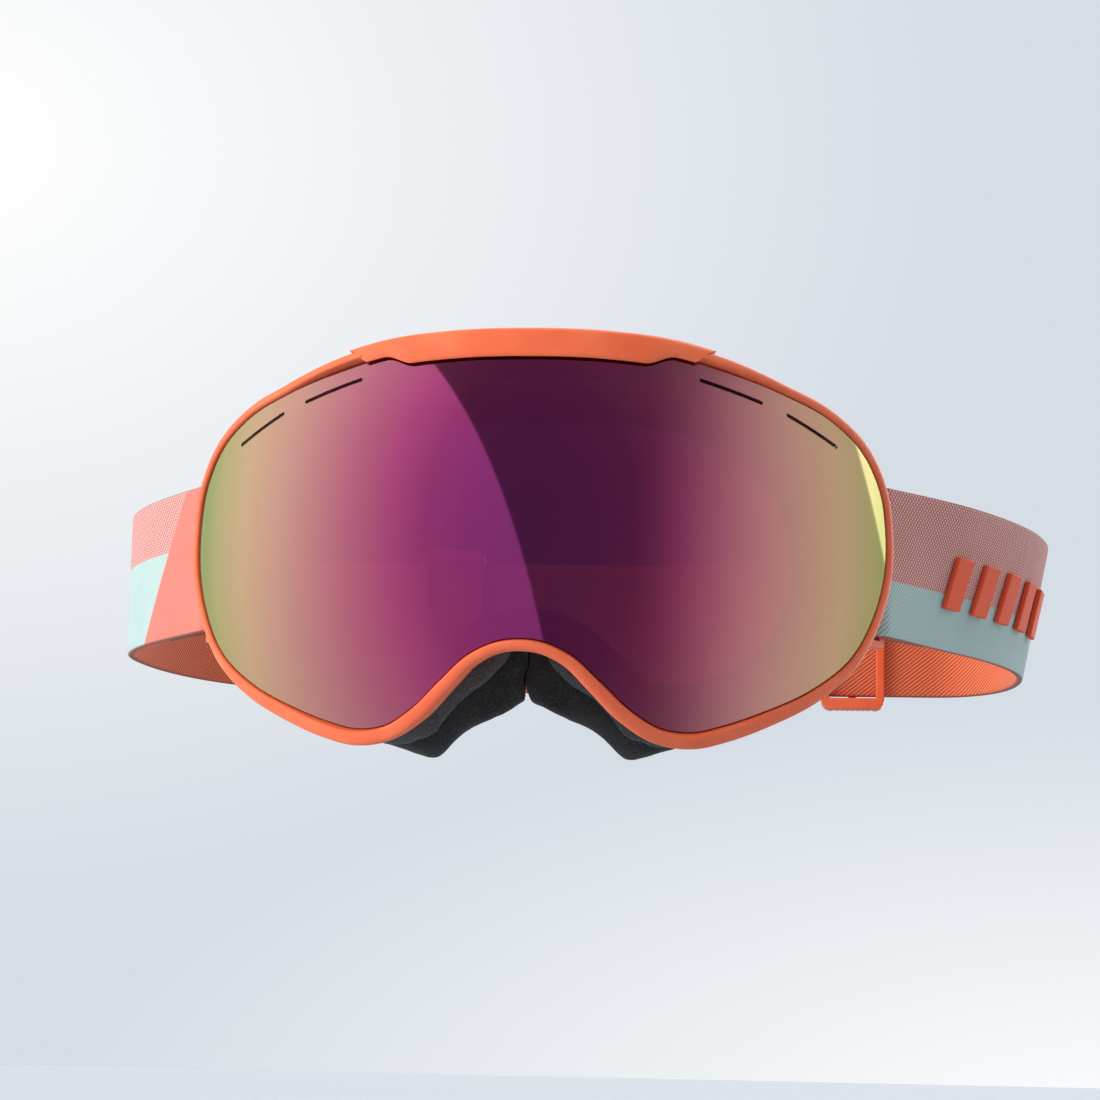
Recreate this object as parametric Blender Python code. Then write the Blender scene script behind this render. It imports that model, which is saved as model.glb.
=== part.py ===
"""Ski goggles: a spherical double lens in a coral frame, on three layers of face foam,
with a wide elastic strap of two bands that meet in two ladder sliders behind the head.

Metres, +Z up. The wearer looks along -Y, so the lens faces -Y and +X is the wearer's left.
While the pieces are made, Y = 0 is the front of the lens and Z = 0 the middle of the strap;
the last step puts the middle of the whole object on the origin.
"""

import math

import bmesh
import bpy
import numpy as np

# Lens and front frame
LENS_WIDTH = 0.182
LENS_HEIGHT = 0.0984
LENS_TOP = 0.050  # top of the lens above the strap's middle line
LENS_WRAP = math.radians(55.8)  # how far the lens turns from its middle to its side edge
LENS_RADIUS_V = 0.150  # vertical curve of the spherical lens
LENS_THICK = 0.0012
INNER_LENS_THICK = 0.0010
LENS_SPACE = 0.0034  # air space between the two lenses
LENS_SEAT = 0.0004  # play between the lens edge and the rim
SPACER_WIDTH = 0.0024
RIM_WIDTH = 0.0028  # side and top
RIM_WIDTH_LOW = 0.0040  # under the cheeks
RIM_PROUD = 0.0021  # how far the rim stands in front of the lens
RIM_LIP = 0.0004  # height of its inner edge
RIM_CHAMFER = 0.0014  # width of its inner chamfer
RIM_ROUND = 0.0010  # its outer front edge
RIM_BACK_ROUND = 0.0012
RIM_WIDENS = (-0.020, -0.045)  # the heights between which it grows to its lower width
SLOT_WIDTH = 0.0011
SLOT_INSET = 0.0049  # from the lens edge to the slot's middle
SLOT_SPANS = ((0.0433, 0.0593), (0.0653, 0.0783))  # inner and outer slot, along X
FILTER_WIDTH = 0.0040
FILTER_THICK = 0.0014
FILTER_INSET = 0.0006  # its middle, further in than the slots'
FILTER_SHIFT = 0.0010  # of both its ends towards the brow

# Brow cover
BROW_HALF = 0.0425  # half its length, at the seam with the rim
BROW_SEAM_SLANT = 0.0030
BROW_DROP = 0.0042  # how far it hangs over the lens
BROW_DROP_FULL = 0.0295  # half the length that hangs over by all of it
BROW_DROP_NONE = 0.0375
BROW_LIP = 0.0009  # how far its ends reach in front of the lens
BROW_PROUD = 0.0002  # in front of the rim's face
BROW_SHELL = 0.0013

# Face frame, the flexible chassis between the lens and the foam
FACE_FRAME_DEPTH = 0.018  # from the lens's front to the foam's seat
FACE_FRAME_WALL = 0.0021
FACE_FRAME_FOOT = (0.0006, -0.0020)  # its outer and inner edge behind the rim, out from the lens's
FACE_FRAME_FLANGE = 0.0085
SEAT_SCALE = (0.912, 0.940)  # the foam's seat against the lens's outline, in X and Z
VENT_SIZE = (0.0140, 0.0048)
VENTS_TOP = (0.011, 0.032)  # each at both sides of the middle
VENTS_LOW = (0.040, 0.060)
VENT_TO_FLANGE = 0.0012  # wall left between a window and the flange
VENT_FOAM_THICK = 0.0015
VENT_FOAM_REACH = 0.0095  # beyond the middle of the outermost windows
VENT_FOAM_SPAN = (0.12, 0.72)  # of the way along the wall, front to back

# Face foam, front to back
FOAM_BASE = 0.0045
FOAM_MID = 0.0090
FLEECE = 0.0035
BASE_STEP_BACK = 0.0048  # how far the base foam's edge stays behind the soft foam's at the nose
BASE_STEP_HEIGHTS = (-0.030, -0.045)  # between these heights, and between these distances
BASE_STEP_SIDES = (0.026, 0.016)  # from the middle below it, the step grows to its full size
FLEECE_STEP_BACK = 0.0008
NOSE_SLIT = 0.0008

# Strap. Its stretches end at these distances behind the lens's side edge.
STRAP_HEIGHT = 0.040
STRAP_THICK = 0.0020
STRAP_RISE = 0.0012  # its middle line above Z = 0
LEFT_BULGE = 0.0336  # how far the -X band's widest point lies outside the lens's side edge
RIGHT_BULGE = 0.0433
LEFT_WIDEST = 0.0780
RIGHT_WIDEST = 0.1138
LEFT_STRAIGHT = 0.084  # where the straight stretch behind the head ends, along X
RIGHT_STRAIGHT = 0.106
STRAP_FRONT_END = 0.0298
STRAP_LEAN_FULL = 0.0440  # where the +X side has all of its lean
STRAP_SIDE_END = 0.1058
STRAP_CORNER = 0.1368
STRAP_BACK = 0.1548
RIGHT_LEAN = math.radians(11)  # the +X side leans out at the top
STRAP_BAR_RADIUS = 0.0011
BRACKET_STANDOFF = 0.0028  # of the bracket's foot, out from the lens's edge
BRACKET_BEHIND_RIM = 0.0016
BRACKET_REACH = 0.0050  # from its foot to the strap's bar
BRACKET_RAIL = 0.0022

# Sliders and raised bars
SLIDER_LEFT_X = -0.042
SLIDER_RIGHT_X = 0.082
SLIDER_TRAVEL = 0.012
SLIDER_RUN_OUT = 0.002
SLIDER_LENGTH = 0.0195
SLIDER_RAIL = 0.0036
SLIDER_BAR = 0.0026
SLIDER_BAR_THICK = 0.0020
SLIDER_CORNER = 0.0030
SLIDER_RIBS = 4
SLIDER_RIB_DEPTH = 0.0004
SLIDER_RIB_END = 0.0004  # between the ribs and the rounded corners
TAIL_LENGTH = 0.030
BAR_COUNT = 5
BAR_FIRST = 0.0378  # behind the lens's side edge
BAR_LAST = 0.0978
BAR_WIDTH = 0.0085
BAR_HEIGHT = 0.0145
BAR_SLANT = 0.0040
BAR_THICK = 0.0016
BAR_MIDDLE_Z = -0.0015

GAP = 0.0003  # between two pieces that touch
LOOP_POINTS = 96

# Outlines of one half, from the top middle to the bottom middle. Each point is a share of
# half the lens's width, and of its height down from the lens's top.
LENS_EDGE = (
    (0.0, 0.0), (0.22, 0.004), (0.407, 0.020), (0.549, 0.051), (0.703, 0.097), (0.835, 0.147),
    (0.925, 0.215), (0.983, 0.320), (1.0, 0.427), (0.995, 0.559), (0.967, 0.661),
    (0.901, 0.782), (0.791, 0.874), (0.659, 0.940), (0.549, 0.981), (0.473, 1.0),
    (0.385, 0.994), (0.302, 0.951), (0.220, 0.882), (0.137, 0.816), (0.055, 0.785), (0.0, 0.780),
)
FOAM_EDGE = (
    (0.0, 0.041), (0.330, 0.046), (0.604, 0.100), (0.791, 0.193), (0.879, 0.356),
    (0.901, 0.508), (0.879, 0.660), (0.802, 0.813), (0.681, 0.925), (0.549, 0.996),
    (0.418, 1.026), (0.341, 1.047), (0.280, 1.062), (0.246, 1.056), (0.223, 1.029),
    (0.191, 1.004), (0.151, 0.979), (0.099, 0.962), (0.055, 0.930), (0.0, 0.880),
)
FOAM_OPENING = (
    (0.0, 0.168), (0.286, 0.174), (0.505, 0.219), (0.659, 0.320), (0.709, 0.427),
    (0.725, 0.508), (0.709, 0.610), (0.659, 0.711), (0.571, 0.793), (0.467, 0.833),
    (0.385, 0.843), (0.319, 0.835), (0.264, 0.817), (0.225, 0.795), (0.190, 0.775),
    (0.155, 0.758), (0.118, 0.745), (0.080, 0.737), (0.040, 0.733), (0.0, 0.732),
)

HALF_WIDTH = LENS_WIDTH / 2
LENS_RADIUS_H = HALF_WIDTH / math.sin(LENS_WRAP)
SIDE_DEPTH = LENS_RADIUS_H * (1 - math.cos(LENS_WRAP))  # of the lens's side edge
STRAP_BACK_Y = SIDE_DEPTH + STRAP_BACK
STACK = LENS_THICK + LENS_SPACE + INNER_LENS_THICK
RIM_BACK = -(STACK + GAP)


# ---------------------------------------------------------------- shapes


def smoothstep(low, high, x):
    t = np.clip((np.asarray(x, float) - low) / (high - low), 0.0, 1.0)
    return t * t * (3 - 2 * t)


def closed_spline(half, per_span):
    """Points of a closed curve through the half outline and its mirror image: a cubic
    between each pair of points, with the slope there taken from the two neighbours."""
    half = np.array([(x * HALF_WIDTH, LENS_TOP - z * LENS_HEIGHT) for x, z in half])
    points = np.vstack([half, half[-2:0:-1] * (-1, 1)])
    before, after = np.roll(points, 1, 0), np.roll(points, -1, 0)
    step = np.linalg.norm(after - points, axis=1)[:, None]
    step_before = np.roll(step, 1, 0)
    slope = (
        (points - before) / step_before * step + (after - points) / step * step_before
    ) / (step + step_before)
    t = np.linspace(0, 1, per_span, endpoint=False)[None, :, None]
    a, b = points[:, None], after[:, None]
    ma, mb = (slope * step)[:, None], (np.roll(slope, -1, 0) * step)[:, None]
    curve = (
        a * (1 + 2 * t) * (1 - t) ** 2
        + ma * t * (1 - t) ** 2
        + b * t**2 * (3 - 2 * t)
        + mb * t**2 * (t - 1)
    )
    return curve.reshape(-1, 2)


def even_loop(curve, count):
    """The closed curve again, as count points at equal steps along it."""
    closed = np.vstack([curve, curve[:1]])
    along = np.append(0, np.cumsum(np.linalg.norm(np.diff(closed, axis=0), axis=1)))
    at = np.linspace(0, along[-1], count, endpoint=False)
    return np.stack([np.interp(at, along, closed[:, k]) for k in (0, 1)], 1)


def shifted(loop, distance):
    """The closed X-Z outline moved outwards by distance."""
    run = np.roll(loop, -1, 0) - np.roll(loop, 1, 0)
    run /= np.linalg.norm(run, axis=1)[:, None]
    return loop + np.stack([-run[:, 1], run[:, 0]], 1) * np.reshape(distance, (-1, 1))


def lens_depth(x, z):
    """How far behind the lens's foremost point its front surface lies at x, z."""
    h, v = LENS_RADIUS_H, LENS_RADIUS_V
    return h - np.sqrt(h * h - np.square(x)) + v - np.sqrt(v * v - np.square(z))


def lens_normal(x, z):
    """Unit vectors out of the lens's front."""
    n = np.stack(
        [
            x / np.sqrt(LENS_RADIUS_H**2 - np.square(x)),
            -np.ones_like(x),
            z / np.sqrt(LENS_RADIUS_V**2 - np.square(z)),
        ],
        -1,
    )
    return n / np.linalg.norm(n, axis=-1)[..., None]


def on_lens(loop, lift=0.0):
    """The X-Z outline on the lens's surface, lifted off its front."""
    x, z = loop[:, 0], loop[:, 1]
    return np.stack([x, lens_depth(x, z), z], 1) + lens_normal(x, z) * lift


def behind_lens(loop, depth):
    """The X-Z outline at a fixed depth behind the lens's surface, measured along Y."""
    x, z = loop[:, 0], loop[:, 1]
    return np.stack([x, lens_depth(x, z) + depth, z], 1)


EDGE = even_loop(closed_spline(LENS_EDGE, 24), LOOP_POINTS)
EDGE_3D = on_lens(EDGE)
EDGE_NORMAL = lens_normal(EDGE[:, 0], EDGE[:, 1])
EDGE_RUN = np.roll(EDGE_3D, -1, 0) - np.roll(EDGE_3D, 1, 0)
EDGE_OUT = np.cross(EDGE_NORMAL, EDGE_RUN)
EDGE_OUT /= np.linalg.norm(EDGE_OUT, axis=1)[:, None]
SEAT = EDGE * SEAT_SCALE


def edge_loop(out, lift):
    """The lens's edge moved outwards along the lens, and lifted off its front."""
    return EDGE_3D + EDGE_OUT * np.reshape(out, (-1, 1)) + EDGE_NORMAL * np.reshape(lift, (-1, 1))


def along_top(x, out, lift):
    """Points by the lens's top edge at these x, moved outwards and lifted."""
    quarter = LOOP_POINTS // 4
    top = np.r_[-quarter : quarter + 1]
    at = [np.interp(x, EDGE[top, 0], values[top, k]) for values in
          (EDGE_3D, EDGE_OUT, EDGE_NORMAL) for k in range(3)]
    base, outward, normal = (np.stack(at[k : k + 3], -1) for k in (0, 3, 6))
    return base + outward * np.reshape(out, (-1, 1)) + normal * np.reshape(lift, (-1, 1))


# ---------------------------------------------------------------- bodies


def material(name, colour, roughness, metallic=0.0, alpha=1.0):
    made = bpy.data.materials.new(name)
    made.use_nodes = True
    shader = made.node_tree.nodes["Principled BSDF"]
    shader.inputs["Base Color"].default_value = (*colour, 1.0)
    shader.inputs["Roughness"].default_value = roughness
    shader.inputs["Metallic"].default_value = metallic
    shader.inputs["Alpha"].default_value = alpha
    return made


def add_object(name, vertices, faces, finish):
    """A closed body from vertices and faces, its faces turned outwards."""
    mesh = bpy.data.meshes.new(name)
    mesh.from_pydata([tuple(v) for v in vertices], [], faces)
    shape = bmesh.new()
    shape.from_mesh(mesh)
    bmesh.ops.recalc_face_normals(shape, faces=shape.faces)
    shape.to_mesh(mesh)
    shape.free()
    mesh.shade_smooth()
    mesh.set_sharp_from_angle(angle=math.radians(35))
    mesh.materials.append(finish)
    made = bpy.data.objects.new(name, mesh)
    bpy.context.scene.collection.objects.link(made)
    return made


def swept(name, lines, finish, closed):
    """A body whose cross-section has one corner on each line. The lines have equally many
    points; the body closes on itself, or ends in a flat cap at both ends. Each four-sided
    face is split along its shorter diagonal, so that faces that meet are split alike."""
    lines = np.array(lines)
    sides, count = lines.shape[:2]
    points = lines.reshape(-1, 3)
    index = np.arange(sides * count).reshape(sides, count)
    faces = []
    for k in range(sides):
        a, b = index[k], index[(k + 1) % sides]
        for j in range(count if closed else count - 1):
            n = (j + 1) % count
            rising = np.linalg.norm(points[a[j]] - points[b[n]])
            falling = np.linalg.norm(points[a[n]] - points[b[j]])
            if rising < falling:
                faces += [(a[j], a[n], b[n]), (a[j], b[n], b[j])]
            else:
                faces += [(a[j], a[n], b[j]), (a[n], b[n], b[j])]
    if not closed:
        faces += [tuple(index[:, 0]), tuple(index[::-1, -1])]
    faces = [tuple(int(v) for v in face) for face in faces]
    return add_object(name, points, faces, finish)


def plate(name, outline, lift, thick, scales, finish):
    """A lens: the outline drawn together in rings towards its middle, front and back. The
    rings lie closer near the edge, where other pieces lie against the lens."""
    middle = np.array([0.0, LENS_TOP - LENS_HEIGHT / 2])
    rings = len(scales)
    vertices, faces = [], []
    count = len(outline)
    for side, height in enumerate((lift, lift - thick)):
        start = len(vertices)
        for scale in scales:
            vertices += list(on_lens(middle + (outline - middle) * scale, height))
        vertices += list(on_lens(middle[None], height))
        for ring in range(rings):
            for j in range(count):
                n = (j + 1) % count
                a, b = start + ring * count + j, start + ring * count + n
                if ring == rings - 1:
                    face = (a, b, start + rings * count)
                else:
                    face = (a, b, b + count, a + count)
                faces.append(face if side == 0 else face[::-1])
    back = rings * count + 1
    faces += [(j, back + j, back + (j + 1) % count, (j + 1) % count) for j in range(count)]
    return add_object(name, vertices, faces, finish)


def box_mesh(centre, axes, size):
    """Corners and faces of a box with its sides along three unit axes."""
    corners = [
        np.array(centre) + sum(axes[k] * size[k] / 2 * s[k] for k in range(3))
        for s in ((x, y, z) for x in (-1, 1) for y in (-1, 1) for z in (-1, 1))
    ]
    faces = [(0, 1, 3, 2), (4, 6, 7, 5), (0, 4, 5, 1), (2, 3, 7, 6), (0, 2, 6, 4), (1, 5, 7, 3)]
    return corners, faces


def cutter(name, boxes):
    """One hidden object that holds several separate boxes."""
    vertices, faces = [], []
    for corners, sides in boxes:
        faces += [tuple(len(vertices) + v for v in side) for side in sides]
        vertices += corners
    made = add_object(name, vertices, faces, FINISHES["cutter"])
    hide(made)
    return made


def hide(helper):
    helper.hide_render = True
    helper.display_type = "WIRE"


def cut(target, tool, operation="DIFFERENCE"):
    modifier = target.modifiers.new(tool.name, "BOOLEAN")
    modifier.operation = operation
    modifier.object = tool
    modifier.solver = "EXACT"


def hang_on(parent_name, place, children, parent=None):
    """An empty on a joint's axis that carries the pieces that move with it."""
    empty = bpy.data.objects.new(parent_name, None)
    empty.empty_display_size = 0.01
    empty.location = place
    bpy.context.scene.collection.objects.link(empty)
    if parent is not None:
        empty.parent = parent
        empty.location = np.array(place) - np.array(parent["place"])
    empty["place"] = [float(v) for v in place]
    for child in children:
        child.parent = empty
        child.location = [-float(v) for v in place]
    return empty


# ---------------------------------------------------------------- frame pieces


def brow_lines():
    """The lines along an L-shaped strip that hooks over the rim's top. Each has its own
    length, so that the two end seams slant."""
    t = np.linspace(-1, 1, 29)
    front, back, floor = RIM_PROUD + BROW_PROUD, RIM_BACK, LENS_SEAT + GAP
    bevel, low_bevel = RIM_ROUND, RIM_ROUND / 2

    def line(out, lift, hanging=False):
        x = t * (BROW_HALF + BROW_SEAM_SLANT * out / RIM_WIDTH)
        hang = 1 - smoothstep(BROW_DROP_FULL, BROW_DROP_NONE, np.abs(x))
        low = BROW_LIP + (BROW_DROP - BROW_LIP) * hang
        return along_top(x, out - low if hanging else np.full_like(x, out), lift)

    return [
        line(-GAP, floor, True),
        line(-GAP, front - low_bevel, True),
        line(low_bevel, front, True),
        line(RIM_WIDTH - bevel, front),
        line(RIM_WIDTH, front - bevel),
        line(RIM_WIDTH, back),
        line(RIM_WIDTH - BROW_SHELL, back),
        line(RIM_WIDTH - BROW_SHELL, front - BROW_SHELL),
        line(-GAP, front - BROW_SHELL),
        line(-GAP, floor),
    ]


def make_front_rim():
    """The coral hoop around both lenses, with a chamfer inside and a round outside edge."""
    low = smoothstep(*RIM_WIDENS, EDGE[:, 1])
    width = RIM_WIDTH + (RIM_WIDTH_LOW - RIM_WIDTH) * low
    chamfer_drop = 0.0003
    lines = [
        edge_loop(0.0, RIM_LIP),
        edge_loop(0.6 * RIM_CHAMFER, RIM_PROUD - chamfer_drop),
        edge_loop(RIM_CHAMFER, RIM_PROUD),
        edge_loop(width - RIM_ROUND, RIM_PROUD),
        edge_loop(width, RIM_PROUD - RIM_ROUND),
        edge_loop(width, RIM_BACK + RIM_BACK_ROUND),
        edge_loop(width - RIM_BACK_ROUND, RIM_BACK),
        edge_loop(0.0, RIM_BACK),
    ]
    rim = swept("front_rim", lines, FINISHES["frame_coral"], True)
    step = BROW_SHELL + GAP
    inside, reach = 0.004, 0.012
    t = np.linspace(-1, 1, 29)

    def line(out, lift):
        wide = BROW_HALF + 2 * GAP + BROW_SEAM_SLANT * out / RIM_WIDTH
        return along_top(t * wide, out, lift)

    notch = swept(
        "cutter_brow",
        [
            line(-inside, RIM_PROUD - step),
            line(RIM_WIDTH - step, RIM_PROUD - step),
            line(RIM_WIDTH - step, -reach),
            line(reach, -reach),
            line(reach, reach),
            line(-inside, reach),
        ],
        FINISHES["cutter"],
        False,
    )
    hide(notch)
    cut(rim, notch)
    return rim


def make_brow_cover():
    """The cover clipped over the rim's top, hanging a little over the lens."""
    return swept("brow_cover", brow_lines(), FINISHES["frame_coral"], False)


def slot_frames():
    """The middle, direction, length and outward normal of each vent slot in the lens."""
    inset = shifted(EDGE, -SLOT_INSET)
    top = inset[np.r_[-LOOP_POINTS // 4 : LOOP_POINTS // 4 + 1]]
    for side in (-1, 1):
        for low, high in SLOT_SPANS:
            x = np.array([low, high]) * side
            ends = np.stack([x, np.interp(x, top[:, 0], top[:, 1])], 1)
            ends = on_lens(ends)
            run = ends[1] - ends[0]
            middle = ends.mean(0)
            normal = lens_normal(middle[:1], middle[2:])[0]
            yield middle, run / np.linalg.norm(run), np.linalg.norm(run), normal


def make_outer_lens():
    """The mirrored lens, with four vent slots near its top corners."""
    rings = (1, 0.955, 0.88, 0.68, 0.35)
    outline = shifted(EDGE, -LENS_SEAT)
    lens = plate("lens_outer", outline, 0.0, LENS_THICK, rings, FINISHES["mirror_lens"])
    through = 0.008
    boxes = []
    for middle, run, length, normal in slot_frames():
        axes = (run, np.cross(normal, run), normal)
        boxes.append(box_mesh(middle, axes, (length, SLOT_WIDTH, through)))
    cut(lens, cutter("cutter_slots", boxes))
    return lens


def make_lens_spacer():
    """The foam gasket that keeps the two lenses apart."""
    front, back = -(LENS_THICK + GAP), -(LENS_THICK + LENS_SPACE - GAP)
    outer, inner = -LENS_SEAT, -LENS_SEAT - SPACER_WIDTH
    lines = [edge_loop(outer, front), edge_loop(outer, back), edge_loop(inner, back),
             edge_loop(inner, front)]
    return swept("lens_spacer", lines, FINISHES["gasket"], True)


def make_inner_lens():
    """The clear anti-fog lens behind the air space."""
    lift = -(LENS_THICK + LENS_SPACE)
    rings = (1, 0.955, 0.75, 0.4)
    outline = shifted(EDGE, -LENS_SEAT)
    return plate("lens_inner", outline, lift, INNER_LENS_THICK, rings, FINISHES["clear_lens"])


def make_slot_filters():
    """A strip of open foam behind the two slots of each side."""
    made = []
    for side, name in ((-1, "slot_filter_left"), (1, "slot_filter_right")):
        x = np.linspace(SLOT_SPANS[0][0] - FILTER_SHIFT, SLOT_SPANS[1][1] - FILTER_SHIFT, 9) * side
        lines = []
        for out, lift in ((-1, 0), (-1, -1), (1, -1), (1, 0)):
            inset = -SLOT_INSET - FILTER_INSET + out * FILTER_WIDTH / 2
            depth = -(LENS_THICK + 2 * GAP) + lift * FILTER_THICK
            lines.append(along_top(x, inset, depth))
        made.append(swept(name, lines, FINISHES["gasket"], False))
    return made


def make_face_frame():
    """The flexible chassis: a wall from the rim back to a flange that carries the foam,
    with windows in its top and bottom."""
    front = RIM_BACK - GAP
    flange = shifted(SEAT, -FACE_FRAME_FLANGE)
    inside = shifted(SEAT, -FACE_FRAME_WALL)
    lines = [
        edge_loop(FACE_FRAME_FOOT[0], front),
        behind_lens(SEAT, FACE_FRAME_DEPTH),
        behind_lens(flange, FACE_FRAME_DEPTH),
        behind_lens(flange, FACE_FRAME_DEPTH - FACE_FRAME_WALL),
        behind_lens(inside, FACE_FRAME_DEPTH - FACE_FRAME_WALL),
        edge_loop(FACE_FRAME_FOOT[1], front),
    ]
    frame = swept("face_frame", lines, FINISHES["frame_coral"], True)
    boxes = []
    for places, half in ((VENTS_TOP, 1), (VENTS_LOW, -1)):
        for x in places:
            for side in (-1, 1):
                boxes.append(vent_box(x * side, half))
    cut(frame, cutter("cutter_vents", boxes))
    return frame


def wall_at(x, half):
    """The Z of the chassis's outer wall at x, on its upper or lower half."""
    quarter = LOOP_POINTS // 4
    if half > 0:
        part = SEAT[np.r_[-quarter : quarter + 1]]
        return np.interp(x, part[:, 0], part[:, 1])
    start = np.argmin(SEAT[: LOOP_POINTS // 2, 1])
    part = SEAT[quarter : start + 1][::-1]
    return np.interp(abs(x), part[:, 0], part[:, 1])


def vent_box(x, half):
    """A box that cuts one window in the chassis's wall, square to the lens above it."""
    z = float(wall_at(x, half))
    depth = FACE_FRAME_DEPTH - FACE_FRAME_WALL - VENT_TO_FLANGE - VENT_SIZE[1] / 2
    through = 0.012
    slope = lens_normal(np.array([x]), np.array([z / 2]))[0]
    back = np.array([-slope[0], -slope[1], 0.0])
    back /= np.linalg.norm(back)
    across = np.array([back[1], -back[0], 0.0])
    centre = (x, float(lens_depth(x, z)) + depth, z)
    return box_mesh(centre, (across, back, np.array([0.0, 0.0, 1.0])), (*VENT_SIZE, through))


def make_vent_foams():
    """Strips of open foam glued inside the chassis, over its windows."""
    front = edge_loop(FACE_FRAME_FOOT[1], RIM_BACK - GAP)
    back = behind_lens(shifted(SEAT, -FACE_FRAME_WALL), FACE_FRAME_DEPTH - FACE_FRAME_WALL)
    inward = np.zeros_like(front)
    inward[:, [0, 2]] = shifted(SEAT, -1.0) - SEAT
    half = LOOP_POINTS // 2
    near, far = VENTS_LOW[0] - VENT_FOAM_REACH, VENTS_LOW[1] + VENT_FOAM_REACH
    low = [j for j in range(half) if EDGE[j, 1] < 0 and near < EDGE[j, 0] < far]
    wide = VENTS_TOP[1] + VENT_FOAM_REACH
    top = [j for j in range(-half, half) if EDGE[j, 1] > 0 and abs(EDGE[j, 0]) < wide]
    spans = {
        "vent_foam_top": top,
        "vent_foam_low_right": low,
        "vent_foam_low_left": [-j for j in low][::-1],
    }
    made = []
    for name, span in spans.items():
        lines = []
        start, end = VENT_FOAM_SPAN
        for share, deep in ((start, 0), (end, 0), (end, VENT_FOAM_THICK), (start, VENT_FOAM_THICK)):
            line = front + (back - front) * share + inward * (deep + 2 * GAP)
            lines.append(line[span])
        made.append(swept(name, lines, FINISHES["gasket"], False))
    return made


def open_at_nose(line):
    """The closed line cut open at the bottom middle, its two ends a slit apart."""
    half = len(line) // 2
    opened = np.roll(line, -half, 0)
    opened = np.vstack([opened, opened[:1]])
    opened[0, 0] = -NOSE_SLIT / 2
    opened[-1, 0] = NOSE_SLIT / 2
    return opened


def make_foams():
    """Three layers of face foam: a firm base, a soft middle and a fleece that meets the
    skin. The soft layers are one strip whose ends meet at the nose."""
    outer, opening = closed_spline(FOAM_EDGE, 3), closed_spline(FOAM_OPENING, 3)
    low = outer[:, 1] < 0
    nose = smoothstep(*BASE_STEP_HEIGHTS, outer[:, 1])
    nose = nose + low * smoothstep(*BASE_STEP_SIDES, np.abs(outer[:, 0]))
    base_edge = shifted(outer, -BASE_STEP_BACK * np.clip(nose, 0, 1))
    fleece_edge = shifted(outer, -FLEECE_STEP_BACK)
    start = FACE_FRAME_DEPTH + GAP
    # Each layer's front and back run through its neighbour's edge too, so that the faces
    # that meet have the same corners.
    layers = (
        ("foam_base", (base_edge,), (base_edge,), FOAM_BASE, "foam_grey", True),
        ("foam_mid", (base_edge, outer), (outer, fleece_edge), FOAM_MID, "foam_black", False),
        ("fleece_liner", (fleece_edge,), (fleece_edge,), FLEECE, "fleece", False),
    )
    made = []
    for name, front, back, thick, finish, whole in layers:
        lines = [
            *(behind_lens(edge, start) for edge in front),
            *(behind_lens(edge, start + thick) for edge in back),
            behind_lens(opening, start + thick),
            behind_lens(opening, start),
        ]
        if not whole:
            lines = [open_at_nose(line) for line in lines]
        made.append(swept(name, lines, FINISHES[finish], whole))
        start += thick + GAP
    return made


# ---------------------------------------------------------------- strap


def side_anchor():
    """At the lens's side edge: the edge itself, the way the strap leaves it, along the
    lens's own slope, and the way out of the lens's front, all at strap height."""
    j = int(np.argmax(EDGE[:, 0]))
    leave = EDGE_OUT[j] * (1, 1, 0)
    leave /= np.linalg.norm(leave)
    return EDGE_3D[j] * (1, 1, 0), leave, np.array([leave[1], -leave[0], 0.0])


ANCHOR_EDGE, ANCHOR_LEAVE, ANCHOR_AWAY = side_anchor()
BRACKET_FOOT = ANCHOR_EDGE + ANCHOR_LEAVE * BRACKET_STANDOFF + ANCHOR_AWAY * (
    RIM_BACK - BRACKET_BEHIND_RIM
)
ANCHOR_BAR = BRACKET_FOOT + ANCHOR_LEAVE * BRACKET_REACH
STRAP_START = (
    ANCHOR_EDGE
    + ANCHOR_LEAVE * (RIM_WIDTH + 2 * GAP)
    + ANCHOR_AWAY
    * (RIM_BACK - BRACKET_BEHIND_RIM + STRAP_BAR_RADIUS + GAP + STRAP_THICK / 2)
)


def strap_plan(widest, straight, layer):
    """Plan of a band's middle line, as if on the +X side, densely: a cubic curve that leaves
    the bracket along the lens's slope and turns to Y at the widest point, a quarter of an
    ellipse round the corner, and a straight back. layer moves the back out, for the band
    that lies outside the other."""
    start, (reach, widest_y) = STRAP_START[:2], widest
    back = STRAP_BACK_Y + layer * (STRAP_THICK + GAP)
    t = np.linspace(0, 1, 200)[:, None]
    span = math.hypot(reach - start[0], widest_y - start[1])
    side = (
        start * (1 + 2 * t) * (1 - t) ** 2
        + ANCHOR_LEAVE[:2] * span * t * (1 - t) ** 2
        + np.array(widest) * t**2 * (3 - 2 * t)
        + np.array([0.0, span]) * t**2 * (t - 1)
    )
    angle = np.linspace(0, math.pi / 2, 160)[1:]
    corner = np.stack(
        [
            straight + (reach - straight) * np.cos(angle),
            widest_y + (back - widest_y) * np.sin(angle),
        ],
        1,
    )
    end = np.stack([np.linspace(straight, -RIGHT_STRAIGHT, 100)[1:], np.full(99, back)], 1)
    return np.vstack([side, corner, end])


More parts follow.
